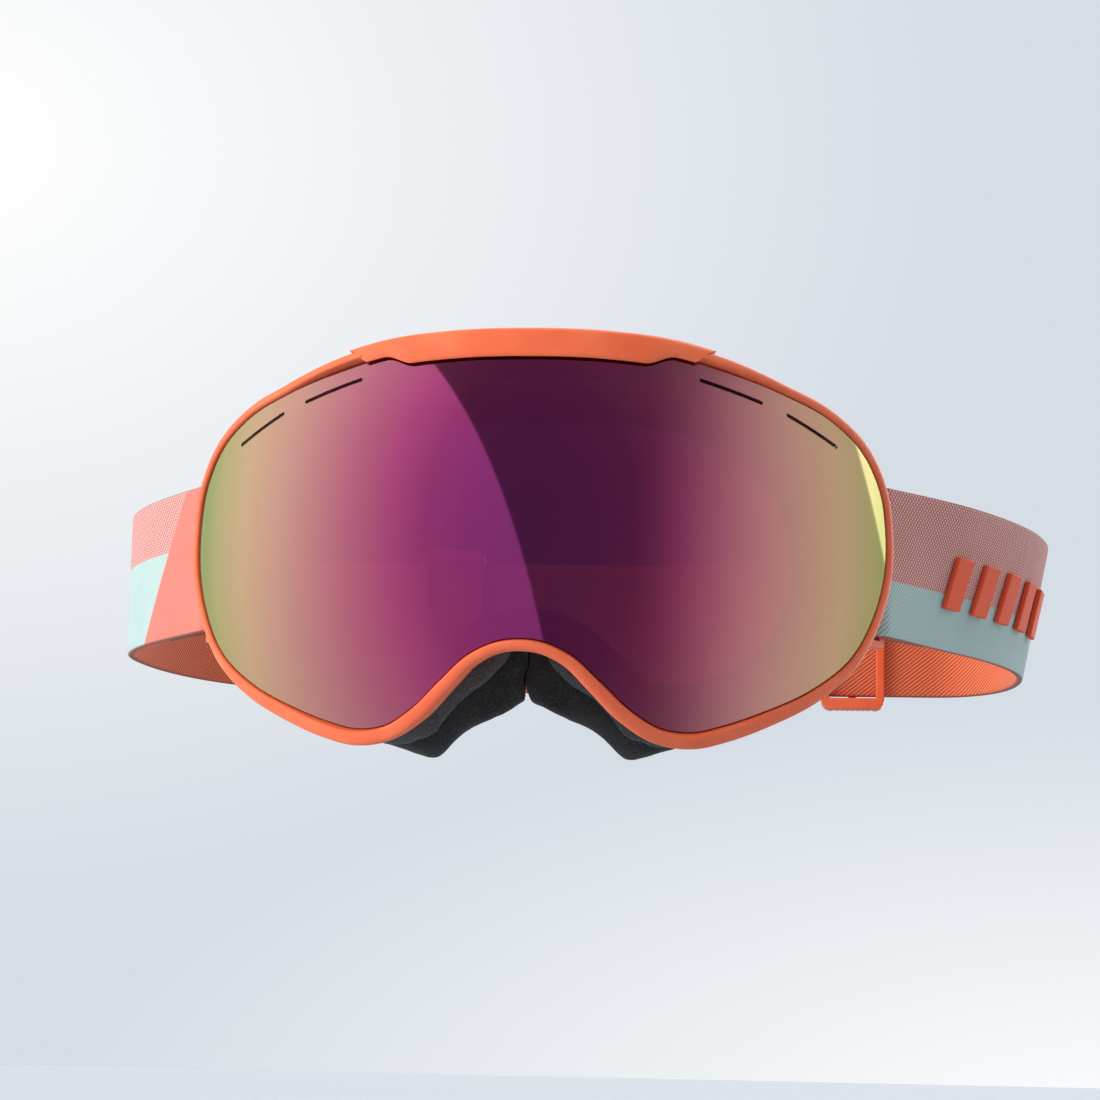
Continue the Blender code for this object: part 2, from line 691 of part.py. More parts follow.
class Band:
    """One of the two bands, as a ribbon that places can be read from: along it, in from
    its outer face, and up."""

    def __init__(self, side, bulge, widest, straight, layer, lean):
        widest_y = SIDE_DEPTH + widest
        plan = strap_plan((HALF_WIDTH + bulge, widest_y), straight, layer)
        run = np.gradient(plan, axis=0)
        run /= np.linalg.norm(run, axis=1)[:, None]
        self.plan = plan
        self.out = np.stack([run[:, 1], -run[:, 0]], 1)
        self.along = np.append(0, np.cumsum(np.linalg.norm(np.diff(plan, axis=0), axis=1)))
        self.side = side
        self.straight = straight
        reach = np.minimum(
            smoothstep(0, self.at_y(SIDE_DEPTH + STRAP_LEAN_FULL), self.along),
            1 - smoothstep(self.at_y(widest_y), self.at_x(straight), self.along),
        )
        self.lean = lean * reach

    def at_y(self, y):
        """How far along the band its middle line reaches this depth, on its side."""
        end = int(np.argmax(self.plan[:, 1]))
        return float(np.interp(y, self.plan[: end + 1, 1], self.along[: end + 1]))

    def at_x(self, x):
        """How far along the band its middle line reaches this x, behind the head."""
        start = int(np.argmax(self.plan[:, 0]))
        return float(np.interp(-x, -self.plan[start:, 0], self.along[start:]))

    def points(self, along, out, up):
        """3-D points: out from the band's middle layer, up from its middle line."""
        read = [np.interp(along, self.along, v) for v in (*self.plan.T, *self.out.T, self.lean)]
        x, y, ox, oy, lean = read
        push = out * np.cos(lean) + up * np.sin(lean)
        z = STRAP_RISE + up * np.cos(lean) - out * np.sin(lean)
        return np.stack([(x + ox * push) * self.side, y + oy * push, z], -1)


def band_piece(name, band, start, end, columns, finish):
    """A stretch of one band, as a flat ribbon with square edges."""
    along = np.linspace(start, end, columns)
    h, t = STRAP_HEIGHT / 2, STRAP_THICK / 2
    section = ((-t, -h), (t, -h), (t, -h / 3), (t, h / 3), (t, h), (-t, h), (-t, h / 3), (-t, -h / 3))
    lines = [band.points(along, out, up) for out, up in section]
    return swept(name, lines, finish, False)


def make_bands():
    """Each band in seven stretches: at the frame, beside the head, the elastic quarter,
    round the corner, the run that a slider slides on, behind the head, and the tail that is
    sewn to the other band's slider."""
    left = Band(-1, LEFT_BULGE, LEFT_WIDEST, LEFT_STRAIGHT, 0, 0.0)
    right = Band(1, RIGHT_BULGE, RIGHT_WIDEST, RIGHT_STRAIGHT, 1, RIGHT_LEAN)
    hold = SLIDER_LENGTH / 2
    run = hold + SLIDER_TRAVEL + SLIDER_RUN_OUT
    made = {}
    for name, band, own, other in (
        ("left", left, -SLIDER_LEFT_X, -SLIDER_RIGHT_X),
        ("right", right, SLIDER_RIGHT_X, SLIDER_LEFT_X),
    ):
        end = other + hold + GAP
        stops = [
            0.0,
            band.at_y(SIDE_DEPTH + STRAP_FRONT_END),
            band.at_y(SIDE_DEPTH + STRAP_SIDE_END),
            band.at_y(SIDE_DEPTH + STRAP_CORNER),
            band.at_x(band.straight),
            band.at_x(own - run),
            band.at_x(end + TAIL_LENGTH),
            band.at_x(end),
        ]
        parts = (
            ("front", 9), ("side", 19), ("quarter", 7), ("corner", 8),
            ("run", 2), ("back", 2), ("tail", 2),
        )
        for k, (part, columns) in enumerate(parts):
            start = stops[k] + (GAP if k else 0)
            made[name, part] = band_piece(
                f"strap_{name}_{part}", band, start, stops[k + 1], columns, FINISHES["webbing"]
            )
    return left, right, made


def make_bracket(name, side):
    """The moulded strap bracket: a foot on the chassis wall, two arms and the strap's bar."""
    flip = np.array([side, 1, 1])
    up = np.array([0.0, 0.0, 1.0])
    leave, away, foot = ANCHOR_LEAVE * flip, ANCHOR_AWAY * flip, BRACKET_FOOT * flip
    foot = foot + up * STRAP_RISE
    r, clear = STRAP_BAR_RADIUS, STRAP_HEIGHT / 2 + 2 * GAP

    def corners(low, high, half):
        return [(low, -half), (high, -half), (high, half), (low, half)]

    outer = corners(-r, BRACKET_REACH + r, clear + BRACKET_RAIL)
    window = corners(r, BRACKET_REACH - r, clear)
    lines = []
    for ring, face in ((outer, -r), (outer, r), (window, r), (window, -r)):
        lines.append([foot + leave * a + up * b + away * face for a, b in ring])
    return swept(name, lines, FINISHES["frame_coral"], True)


def extruded(name, outline, front, back, finish):
    """The X-Z outline as a solid between two depths."""
    count = len(outline)
    vertices = [(x, y, z) for y in (front, back) for x, z in outline]
    faces = [tuple(range(count)), tuple(range(2 * count - 1, count - 1, -1))]
    faces += [(j, count + j, count + (j + 1) % count, (j + 1) % count) for j in range(count)]
    return add_object(name, vertices, faces, finish)


def slider_outline(x, top):
    """A rounded rectangle whose short sides are ribbed for the fingers."""
    half, r = SLIDER_LENGTH / 2, SLIDER_CORNER
    turn = np.linspace(0, math.pi / 2, 4)
    ribs = np.linspace(-1, 1, 4 * SLIDER_RIBS + 1)
    edge = np.stack(
        [
            x + ribs * (half - r - SLIDER_RIB_END),
            top - SLIDER_RIB_DEPTH * np.sin(ribs * math.pi * SLIDER_RIBS) ** 2,
        ],
        1,
    )
    arc = np.stack([x + half - r + r * np.sin(turn), top - r + r * np.cos(turn)], 1)
    right = np.vstack([edge[1:-1], arc])
    left = right[::-1] * (-1, 1) + (2 * x, 0)
    upper = np.vstack([left[: len(arc)], edge[1:-1], arc])
    return np.vstack([upper, upper[::-1] * (1, -1)]) + (0, STRAP_RISE)


def make_slider(name, x, layer):
    """A ladder slider: a rail above and below the band, two bars in front of it and one
    behind, so that the flat band threads straight through."""
    band_y = STRAP_BACK_Y + layer * (STRAP_THICK + GAP)
    half = SLIDER_LENGTH / 2
    hold = STRAP_HEIGHT / 2 + 2 * GAP
    face = STRAP_THICK / 2 + GAP
    front, back = band_y - face - SLIDER_BAR_THICK, band_y + face + SLIDER_BAR_THICK
    slider = extruded(name, slider_outline(x, hold + SLIDER_RAIL), front, back, FINISHES["slider_coral"])
    axes = np.eye(3)
    beyond = 0.002
    side_gap = half - SLIDER_BAR / 2 + beyond
    deep, tall = 2 * (SLIDER_BAR_THICK + face), 2 * hold
    aside = SLIDER_BAR / 2 + side_gap / 2
    openings = {
        "channel": (x, band_y, 2 * (half + beyond), 2 * face),
        "window": (x, front, 2 * (half - SLIDER_BAR), deep),
        "back_low": (x - aside, back, side_gap, deep),
        "back_high": (x + aside, back, side_gap, deep),
    }
    for part, (at, depth, wide, thick) in openings.items():
        box = box_mesh((at, depth, STRAP_RISE), axes, (wide, thick, tall))
        cut(slider, cutter(f"cutter_{name}_{part}", [box]))
    return slider


def make_raised_bars(band):
    """Slanting bars of soft rubber moulded on the outer face of the band."""
    first, last = band.at_y(SIDE_DEPTH + BAR_FIRST), band.at_y(SIDE_DEPTH + BAR_LAST)
    low, high = STRAP_THICK / 2 + GAP, STRAP_THICK / 2 + GAP + BAR_THICK
    made = []
    for k, start in enumerate(np.linspace(first, last, BAR_COUNT)):
        lines = []
        for out, share in ((low, -0.5), (high, -0.5), (high, 0.5), (low, 0.5)):
            along = start + np.linspace(-0.5, 0.5, 4) * BAR_WIDTH + BAR_SLANT * share
            up = BAR_MIDDLE_Z + BAR_HEIGHT * share
            lines.append(band.points(along, out, up))
        made.append(swept(f"raised_bar_{k + 1}", lines, FINISHES["raised_rubber"], False))
    return made


# ---------------------------------------------------------------- finishes and assembly


def make_finishes():
    coral, strap = (0.83, 0.11, 0.06), (0.78, 0.16, 0.11)
    return {
        "frame_coral": material("frame_coral", coral, 0.42),
        "mirror_lens": material("mirror_lens", (0.28, 0.03, 0.16), 0.06, 0.6),
        "clear_lens": material("clear_lens", (0.85, 0.85, 0.85), 0.05, alpha=0.35),
        "gasket": material("gasket", (0.012, 0.012, 0.012), 0.9),
        "foam_grey": material("foam_grey", (0.045, 0.045, 0.045), 0.95),
        "foam_black": material("foam_black", (0.014, 0.014, 0.014), 0.95),
        "fleece": material("fleece", (0.008, 0.008, 0.008), 1.0),
        "webbing": material("webbing", strap, 0.85),
        "slider_coral": material("slider_coral", coral, 0.35),
        "raised_rubber": material("raised_rubber", coral, 0.45),
        "cutter": material("cutter", (0.5, 0.5, 0.5), 0.5),
    }


def clear_scene():
    for old in list(bpy.data.objects):
        bpy.data.objects.remove(old, do_unlink=True)


def centre_of(objects):
    """The middle of the box round these objects, whose meshes are all at their places."""
    points = np.vstack([[tuple(v.co) for v in o.data.vertices] for o in objects])
    return (points.min(0) + points.max(0)) / 2


clear_scene()
FINISHES = make_finishes()

make_front_rim()
make_brow_cover()
make_outer_lens()
make_lens_spacer()
make_inner_lens()
make_slot_filters()
make_face_frame()
make_vent_foams()
make_foams()
make_bracket("strap_bracket_left", -1)
make_bracket("strap_bracket_right", 1)
left_band, right_band, pieces = make_bands()
slider_left = make_slider("slider_left", SLIDER_LEFT_X, 0)
slider_right = make_slider("slider_right", SLIDER_RIGHT_X, 1)
bars = make_raised_bars(right_band)

made = [o for o in bpy.data.objects if o.type == "MESH"]
middle = centre_of([o for o in made if not o.hide_render])

goggles = hang_on("goggles", (0, 0, 0), [])
tilt = hang_on(
    "strap_tilt_axis",
    (0, ANCHOR_BAR[1], STRAP_RISE),
    [pieces[side, part] for side in ("left", "right") for part in ("side", "quarter")] + bars,
    goggles,
)
back_parts = [
    pieces[side, part] for side in ("left", "right") for part in ("corner", "run", "back", "tail")
]
stretch = hang_on("strap_stretch_axis", (0, STRAP_BACK_Y, STRAP_RISE), back_parts, tilt)
hang_on("slider_left_axis", (SLIDER_LEFT_X, STRAP_BACK_Y, STRAP_RISE), [slider_left], stretch)
hang_on("slider_right_axis", (SLIDER_RIGHT_X, STRAP_BACK_Y, STRAP_RISE), [slider_right], stretch)
for piece in made:
    if piece.parent is None:
        piece.parent = goggles
goggles.location = [-float(v) for v in middle]
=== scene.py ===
"""The looks of a pair of ski goggles: a mirrored lens in a coral frame, soft face foam and a
woven two-colour strap. Metres, +Z up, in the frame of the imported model."""

import math

import bmesh
import bpy
import numpy as np
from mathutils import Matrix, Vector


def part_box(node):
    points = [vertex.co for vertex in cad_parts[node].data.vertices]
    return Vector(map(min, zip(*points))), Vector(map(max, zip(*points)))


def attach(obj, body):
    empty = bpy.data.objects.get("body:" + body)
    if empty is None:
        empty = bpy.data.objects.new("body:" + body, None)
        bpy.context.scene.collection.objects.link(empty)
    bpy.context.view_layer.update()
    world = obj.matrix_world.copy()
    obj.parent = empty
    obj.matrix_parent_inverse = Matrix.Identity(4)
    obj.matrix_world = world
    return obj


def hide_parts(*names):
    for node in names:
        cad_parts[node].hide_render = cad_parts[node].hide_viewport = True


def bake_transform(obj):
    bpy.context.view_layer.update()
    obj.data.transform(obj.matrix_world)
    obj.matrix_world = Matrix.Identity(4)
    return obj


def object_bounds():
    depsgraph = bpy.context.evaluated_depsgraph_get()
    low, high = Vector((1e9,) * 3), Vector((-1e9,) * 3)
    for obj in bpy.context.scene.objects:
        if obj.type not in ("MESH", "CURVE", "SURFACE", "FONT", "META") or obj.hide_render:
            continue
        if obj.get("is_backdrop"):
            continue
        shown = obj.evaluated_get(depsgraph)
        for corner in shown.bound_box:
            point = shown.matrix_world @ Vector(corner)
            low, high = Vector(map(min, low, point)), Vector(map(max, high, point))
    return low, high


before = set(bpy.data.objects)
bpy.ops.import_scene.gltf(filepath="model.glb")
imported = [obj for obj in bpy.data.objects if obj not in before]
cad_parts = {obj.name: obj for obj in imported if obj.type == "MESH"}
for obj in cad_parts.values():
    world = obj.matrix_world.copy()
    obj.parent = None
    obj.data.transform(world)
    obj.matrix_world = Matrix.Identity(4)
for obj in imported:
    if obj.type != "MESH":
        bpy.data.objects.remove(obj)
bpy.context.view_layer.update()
MM = 0.001

# ---------------------------------------------------------------- outer lens
# Injection-moulded polycarbonate, curved both ways, with a vacuum-deposited mirror. The
# coating is thinnest in the middle, so its colour runs from violet over magenta and gold to
# green at the sides. Four vent slots are milled through it, near the top corners.

LENS_WRAP = math.radians(55.8)  # how far it turns from its middle to its side edge
LENS_RADIUS_V = 150 * MM
LENS_THICK = 1.2 * MM
SEAT_PLAY = 0.4 * MM  # between the lens and the rim
STRAP_RISE = 1.2 * MM
SLOT_SPANS = ((43.3 * MM, 59.3 * MM), (65.3 * MM, 78.3 * MM))
SLOT_INSET = 4.9 * MM
SLOT_WIDTH = 1.1 * MM
# One half of the lens's edge, top middle to bottom middle: shares of its half width, and
# of its height down from its top.
LENS_OUTLINE = (
    (0.0, 0.0), (0.22, 0.004), (0.407, 0.020), (0.549, 0.051), (0.703, 0.097), (0.835, 0.147),
    (0.925, 0.215), (0.983, 0.320), (1.0, 0.427), (0.995, 0.559), (0.967, 0.661),
    (0.901, 0.782), (0.791, 0.874), (0.659, 0.940), (0.549, 0.981), (0.473, 1.0),
    (0.385, 0.994), (0.302, 0.951), (0.220, 0.882), (0.137, 0.816), (0.055, 0.785), (0.0, 0.780),
)

lens_low, lens_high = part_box("lens_outer")
band_low, band_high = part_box("strap_left_back")
# The foremost point of the lens in the middle, at the height that its curve is centred on
ORIGIN = np.array(
    [
        (lens_low.x + lens_high.x) / 2,
        lens_low.y,
        (band_low.z + band_high.z) / 2 - STRAP_RISE,
    ]
)
HALF_WIDTH = (lens_high.x - lens_low.x) / 2 + SEAT_PLAY
LENS_TOP = lens_high.z - ORIGIN[2] + SEAT_PLAY
LENS_HEIGHT = lens_high.z - lens_low.z + 2 * SEAT_PLAY
LENS_RADIUS_H = HALF_WIDTH / math.sin(LENS_WRAP)
SIDE_DEPTH = LENS_RADIUS_H * (1 - math.cos(LENS_WRAP))


def smoothstep(low, high, x):
    """0 before low, 1 after high, and an S-shaped rise between them."""
    t = np.clip((np.asarray(x, float) - low) / (high - low), 0.0, 1.0)
    return t * t * (3 - 2 * t)


def closed_outline(shares, count):
    """The half outline and its mirror image as one smooth closed curve: a cubic between
    each pair of points, read again at count equal steps of its length."""
    half = np.array([(x * HALF_WIDTH, LENS_TOP - z * LENS_HEIGHT) for x, z in shares])
    points = np.vstack([half, half[-2:0:-1] * (-1, 1)])
    before, after = np.roll(points, 1, 0), np.roll(points, -1, 0)
    step = np.linalg.norm(after - points, axis=1)[:, None]
    step_before = np.roll(step, 1, 0)
    slope = (points - before) / step_before * step + (after - points) / step * step_before
    slope = slope / (step + step_before) * step
    t = np.linspace(0, 1, 24, endpoint=False)[None, :, None]
    a, b, ma = points[:, None], after[:, None], slope[:, None]
    mb = (np.roll(slope / step, -1, 0) * step)[:, None]
    curve = a * (1 + 2 * t) * (1 - t) ** 2 + ma * t * (1 - t) ** 2
    curve = (curve + b * t**2 * (3 - 2 * t) + mb * t**2 * (t - 1)).reshape(-1, 2)
    closed = np.vstack([curve, curve[:1]])
    along = np.append(0, np.cumsum(np.linalg.norm(np.diff(closed, axis=0), axis=1)))
    at = np.linspace(0, along[-1], count, endpoint=False)
    return np.stack([np.interp(at, along, closed[:, k]) for k in (0, 1)], 1)


def moved_out(loop, distance):
    """The closed X-Z outline moved outwards by distance."""
    run = np.roll(loop, -1, 0) - np.roll(loop, 1, 0)
    run /= np.linalg.norm(run, axis=1)[:, None]
    return loop + np.stack([-run[:, 1], run[:, 0]], 1) * np.reshape(distance, (-1, 1))


def lens_depth(x, z):
    """Depth of the lens's front behind its foremost point: one arc across, one arc up."""
    h, v = LENS_RADIUS_H, LENS_RADIUS_V
    return h - np.sqrt(h * h - np.square(x)) + v - np.sqrt(v * v - np.square(z))


def lens_normal(x, z):
    """Unit vectors out of the lens's front, from the slopes of the two arcs."""
    n = np.stack(
        [
            x / np.sqrt(LENS_RADIUS_H**2 - np.square(x)),
            -np.ones_like(x),
            z / np.sqrt(LENS_RADIUS_V**2 - np.square(z)),
        ],
        -1,
    )
    return n / np.linalg.norm(n, axis=-1)[..., None]


def on_lens(loop, lift=0.0):
    """Points of the X-Z outline on the lens's front, lifted off it along its normal."""
    x, z = loop[..., 0], loop[..., 1]
    return np.stack([x, lens_depth(x, z), z], -1) + lens_normal(x, z) * lift


def behind_lens(loop, depth):
    """The X-Z outline at a fixed depth behind the lens's front, measured along Y."""
    x, z = loop[..., 0], loop[..., 1]
    return np.stack([x, lens_depth(x, z) + depth, z], -1)


def colour(code):
    """An sRGB hex value as linear red, green, blue and alpha."""
    parts = [int(code[k : k + 2], 16) / 255 for k in (1, 3, 5)]
    return [p / 12.92 if p <= 0.04045 else ((p + 0.055) / 1.055) ** 2.4 for p in parts] + [1.0]


def add(tree, kind, inputs=(), stops=(), **settings):
    """One node. inputs gives a value or another node's output for each input by name or
    number, stops the places and colours of a ramp, settings its other properties."""
    made = tree.nodes.new("ShaderNode" + kind)
    for name, value in settings.items():
        setattr(made, name, value)
    for k, (place, code) in enumerate(stops):
        elements = made.color_ramp.elements
        stop = elements[k] if k < 2 else elements.new(place)
        stop.position = place
        stop.color = colour(code) if isinstance(code, str) else (code, code, code, 1)
    for key, value in dict(inputs).items():
        socket = made.inputs[key]
        if isinstance(value, bpy.types.NodeSocket):
            tree.links.new(value, socket)
        else:
            socket.default_value = value
    return made


def new_material(name):
    """An empty node material and its tree. The caller adds the nodes."""
    made = bpy.data.materials.new(name)
    made.use_nodes = True
    made.node_tree.nodes.clear()
    return made, made.node_tree


def show(tree, shader):
    """Leads a shader to the material's output."""
    add(tree, "OutputMaterial", {"Surface": shader})


SHARP = math.radians(38)  # edges that turn more than this stay crisp


def make_piece(name, points, faces, finish, slot, uv=None, values=None):
    """A mesh object at the origin from points in this script's own frame, shifted into the
    packed one. Its faces are turned outwards. uv and values are given for each point."""
    mesh = bpy.data.meshes.new(name)
    mesh.from_pydata((np.asarray(points) + ORIGIN).tolist(), [], faces)
    if uv is not None:
        corners = np.zeros(len(mesh.loops), int)
        mesh.loops.foreach_get("vertex_index", corners)
        layer = mesh.uv_layers.new(name="UVMap")
        layer.data.foreach_set("uv", np.asarray(uv, np.float32)[corners].ravel())
    for key, value in (values or {}).items():
        mesh.attributes.new(key, "FLOAT", "POINT").data.foreach_set("value", value)
    shape = bmesh.new()
    shape.from_mesh(mesh)
    bmesh.ops.recalc_face_normals(shape, faces=shape.faces)
    shape.to_mesh(mesh)
    shape.free()
    mesh.shade_smooth()
    mesh.set_sharp_from_angle(angle=SHARP)
    mesh.materials.append(finish)
    piece = bpy.data.objects.new(name, mesh)
    bpy.context.scene.collection.objects.link(piece)
    return piece


def grid_faces(rows, columns, rows_close, columns_close):
    """Four-sided faces between the neighbours of a grid of points."""
    index = np.arange(rows * columns).reshape(rows, columns)
    down = np.roll(index, -1, 0)
    right, across = np.roll(index, -1, 1), np.roll(down, -1, 1)
    faces = np.stack([index, right, across, down], -1)
    faces = faces[: None if rows_close else -1, : None if columns_close else -1]
    return faces.reshape(-1, 4).tolist()


def swept(name, lines, finish, slot, closed, **more):
    """A profile carried along a path: lines has one row for each corner of the profile. The
    path closes on itself, or both its ends get a flat cap."""
    lines = np.asarray(lines)
    sides, count = lines.shape[:2]
    faces = grid_faces(sides, count, True, closed)
    if not closed:
        index = np.arange(sides * count).reshape(sides, count)
        faces += [index[:, 0].tolist(), index[::-1, -1].tolist()]
    return make_piece(name, lines.reshape(-1, 3), faces, finish, slot, **more)


def softened(lines, times=2, keep=0.25):
    """The profile with its corners cut: each side keeps its middle, a share of it less at
    both ends, and the cuts are cut again."""
    for _ in range(times):
        after = np.roll(lines, -1, 0)
        first, second = lines * (1 - keep) + after * keep, lines * keep + after * (1 - keep)
        lines = np.stack([first, second], 1).reshape(-1, *lines.shape[1:])
    return lines


def baked(piece):
    """Makes the shape that the piece's modifiers give its own mesh."""
    bpy.context.view_layer.update()
    evaluated = piece.evaluated_get(bpy.context.evaluated_depsgraph_get())
    mesh = bpy.data.meshes.new_from_object(evaluated)
    piece.modifiers.clear()
    piece.data = mesh


def crisp(piece):
    """Normals weighted by area, so flat faces look flat and only their eased edges turn."""
    piece.data.shade_smooth()
    piece.data.set_sharp_from_angle(angle=SHARP)
    weigh = piece.modifiers.new("weigh", "WEIGHTED_NORMAL")
    weigh.keep_sharp = True
    baked(piece)


def carve(piece, tools):
    """Cuts the tools out of the piece for good, and removes them."""
    for tool in tools:
        modifier = piece.modifiers.new("cut", "BOOLEAN")
        modifier.operation, modifier.object, modifier.solver = "DIFFERENCE", tool, "EXACT"
    baked(piece)
    for tool in tools:
        bpy.data.objects.remove(tool)


def block(centre, axes, size, finish, around=16):
    """A rounded bar that cuts a slot: a flat box with half-round ends, along three axes."""
    turn = np.linspace(0, 2 * math.pi, around, endpoint=False)
    half = size[1] / 2
    out = np.sign(np.cos(turn)) * (size[0] / 2 - half) + np.cos(turn) * half
    ring = np.outer(out, axes[0]) + np.outer(np.sin(turn) * half, axes[1])
    ends = [centre + ring + axes[2] * size[2] * s for s in (-0.5, 0.5)]
    lines = np.stack(ends, 1)
    return swept("cutter", lines, finish, "gasket", False)


def lens_plate(name, front, thick, finish, slot, rings=26):
    """A lens: the outline drawn together in rings to its middle, on the front and on the
    back, with a half-round edge between them."""
    middle = np.array([0.0, LENS_TOP - LENS_HEIGHT / 2])
    scales = np.sin(np.linspace(math.pi / 2, 0, rings, endpoint=False))
    edge = moved_out(EDGE, -SEAT_PLAY)
    shapes = middle + (edge - middle) * scales[:, None, None]
    turn = np.linspace(0, math.pi, 5)[1:-1]
    bulge = [
        on_lens(moved_out(edge, np.sin(a) * thick / 4), front - thick * (1 - math.cos(a)) / 2)
        for a in turn
    ]
    grid = np.concatenate(
        [on_lens(shapes, front)[::-1], bulge, on_lens(shapes, front - thick)]
    )
    rows, columns = grid.shape[:2]
    faces = grid_faces(rows, columns, False, True)
    poles = on_lens(middle[None], front), on_lens(middle[None], front - thick)
    points = np.vstack([grid.reshape(-1, 3), *poles])
    start, last = rows * columns, (rows - 1) * columns
    ring = np.arange(columns)
    after = (ring + 1) % columns
    faces += np.stack([after, ring, np.full(columns, start)], 1).tolist()
    faces += np.stack([last + ring, last + after, np.full(columns, start + 1)], 1).tolist()
    return make_piece(name, points, faces, finish, slot)


def true_normals(piece, front, thick):
    """Gives the lens's two faces the normals of its own curve, so that reflections run
    smoothly past the slots."""
    mesh = piece.data
    corners = np.zeros(len(mesh.loops), int)
    mesh.loops.foreach_get("vertex_index", corners)
    places = np.zeros(len(mesh.vertices) * 3)
    mesh.vertices.foreach_get("co", places)
    places = places.reshape(-1, 3) - ORIGIN
    face_way = np.zeros(len(mesh.polygons) * 3)
    mesh.polygons.foreach_get("normal", face_way)
    sizes = np.zeros(len(mesh.polygons), int)
    mesh.polygons.foreach_get("loop_total", sizes)
    way = np.repeat(face_way.reshape(-1, 3), sizes, 0)
    curve = lens_normal(places[corners, 0], places[corners, 2])
    side = np.sum(way * curve, 1)
    normals = np.where(side[:, None] > 0.9, curve, np.where(side[:, None] < -0.9, -curve, way))
    mesh.normals_split_custom_set(normals.tolist())


EDGE = closed_outline(LENS_OUTLINE, 480)
EDGE_3D = on_lens(EDGE)
EDGE_NORMAL = lens_normal(EDGE[:, 0], EDGE[:, 1])
EDGE_OUT = np.cross(EDGE_NORMAL, np.roll(EDGE_3D, -1, 0) - np.roll(EDGE_3D, 1, 0))
EDGE_OUT /= np.linalg.norm(EDGE_OUT, axis=1)[:, None]


def edge_loop(out, lift):
    """The lens's edge moved outwards along the lens, and lifted off its front."""
    return EDGE_3D + EDGE_OUT * np.reshape(out, (-1, 1)) + EDGE_NORMAL * np.reshape(lift, (-1, 1))


def mirrored_lens():
    """Mirror-coated polycarbonate: a metal film that lets a little violet light through. The
    film's thickness sets the colour, so it follows the distance from the lens's middle."""
    made, tree = new_material("mirror_coated_polycarbonate")
    place = add(tree, "TexCoord").outputs["Object"]
    middle = ORIGIN + (1.75 * MM, 0, 0)  # the coating's thinnest place
    place = add(tree, "Mapping", {"Vector": place, "Location": (-middle).tolist()})
    flat = add(
        tree,
        "VectorMath",
        {0: place.outputs[0], 1: (1 / HALF_WIDTH, 0, 0.62 / HALF_WIDTH)},
        operation="MULTIPLY",
    )
    drift = add(tree, "TexNoise", {"Vector": place.outputs[0], "Scale": 14.0, "Detail": 1.0})
    reach = add(tree, "VectorMath", {0: flat.outputs[0]}, operation="LENGTH")
    film = add(
        tree,
        "Math",
        {0: drift.outputs["Fac"], 1: 0.05, 2: reach.outputs["Value"]},
        operation="MULTIPLY_ADD",
    )
    film = add(tree, "Math", {0: film.outputs[0], 1: 0.025}, operation="SUBTRACT")
    tint = add(
        tree,
        "ValToRGB",
        {0: film.outputs[0]},
        stops=(
            (0.0, "#782C69"), (1.0, "#96A55F"), (0.18, "#812E6A"), (0.29, "#8D336A"),
            (0.40, "#A44573"), (0.52, "#B06379"), (0.63, "#BE7F81"), (0.76, "#CA9C88"),
            (0.86, "#CCAD86"), (0.95, "#B5AE72"),
        ),
    )
    film_shader = add(
        tree,
        "BsdfPrincipled",
        {"Base Color": tint.outputs[0], "Metallic": 1.0, "Roughness": 0.045},
    )
    through = add(tree, "BsdfTransparent", {"Color": (0.9, 0.75, 1.0, 1)})
    both = add(
        tree,
        "MixShader",
        {"Fac": 0.24, 1: film_shader.outputs[0], 2: through.outputs[0]},
    )
    show(tree, both.outputs[0])
    return made


outer_lens = lens_plate("lens_mirror", 0.0, LENS_THICK, mirrored_lens(), "mirror_lens")
inset = moved_out(EDGE, -SLOT_INSET)
upper = inset[np.r_[-120:121]]
slot_cutters = []
for side in (-1, 1):
    for span in SLOT_SPANS:
        x = np.array(span) * side
        ends = on_lens(np.stack([x, np.interp(x, upper[:, 0], upper[:, 1])], 1))
        run = ends[1] - ends[0]
        length = np.linalg.norm(run)
        middle = ends.mean(0)
        out = lens_normal(middle[:1], middle[2:])[0]
        axes = (run / length, np.cross(out, run / length), out)
        size = (length, SLOT_WIDTH, 8 * MM)
        slot_cutters.append(block(middle, axes, size, outer_lens.data.materials[0]))
carve(outer_lens, slot_cutters)
true_normals(outer_lens, 0.0, LENS_THICK)
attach(outer_lens, "frame")
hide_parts("lens_outer")

# ---------------------------------------------------------------- inner lens and gasket
# A clear acetate lens with an anti-fog face, held off the mirrored one by a die-cut ring of
# closed-cell foam. Strips of open foam keep snow out of the vent slots.

LENS_SPACE = 3.4 * MM
INNER_THICK = 1.0 * MM


def clear_acetate():
    """Clear anti-fog sheet: all but invisible, with a soft gloss at flat angles."""
    made, tree = new_material("clear_acetate")
    gloss = add(
        tree,
        "BsdfPrincipled",
        {"Base Color": colour("#E9E6E0"), "Roughness": 0.08, "IOR": 1.49},
    )
    clear = add(tree, "BsdfTransparent", {"Color": (0.93, 0.93, 0.94, 1)})
    edge = add(tree, "Fresnel", {"IOR": 1.35})
    both = add(
        tree, "MixShader", {"Fac": edge.outputs[0], 1: clear.outputs[0], 2: gloss.outputs[0]}
    )
    show(tree, both.outputs[0])
    return made


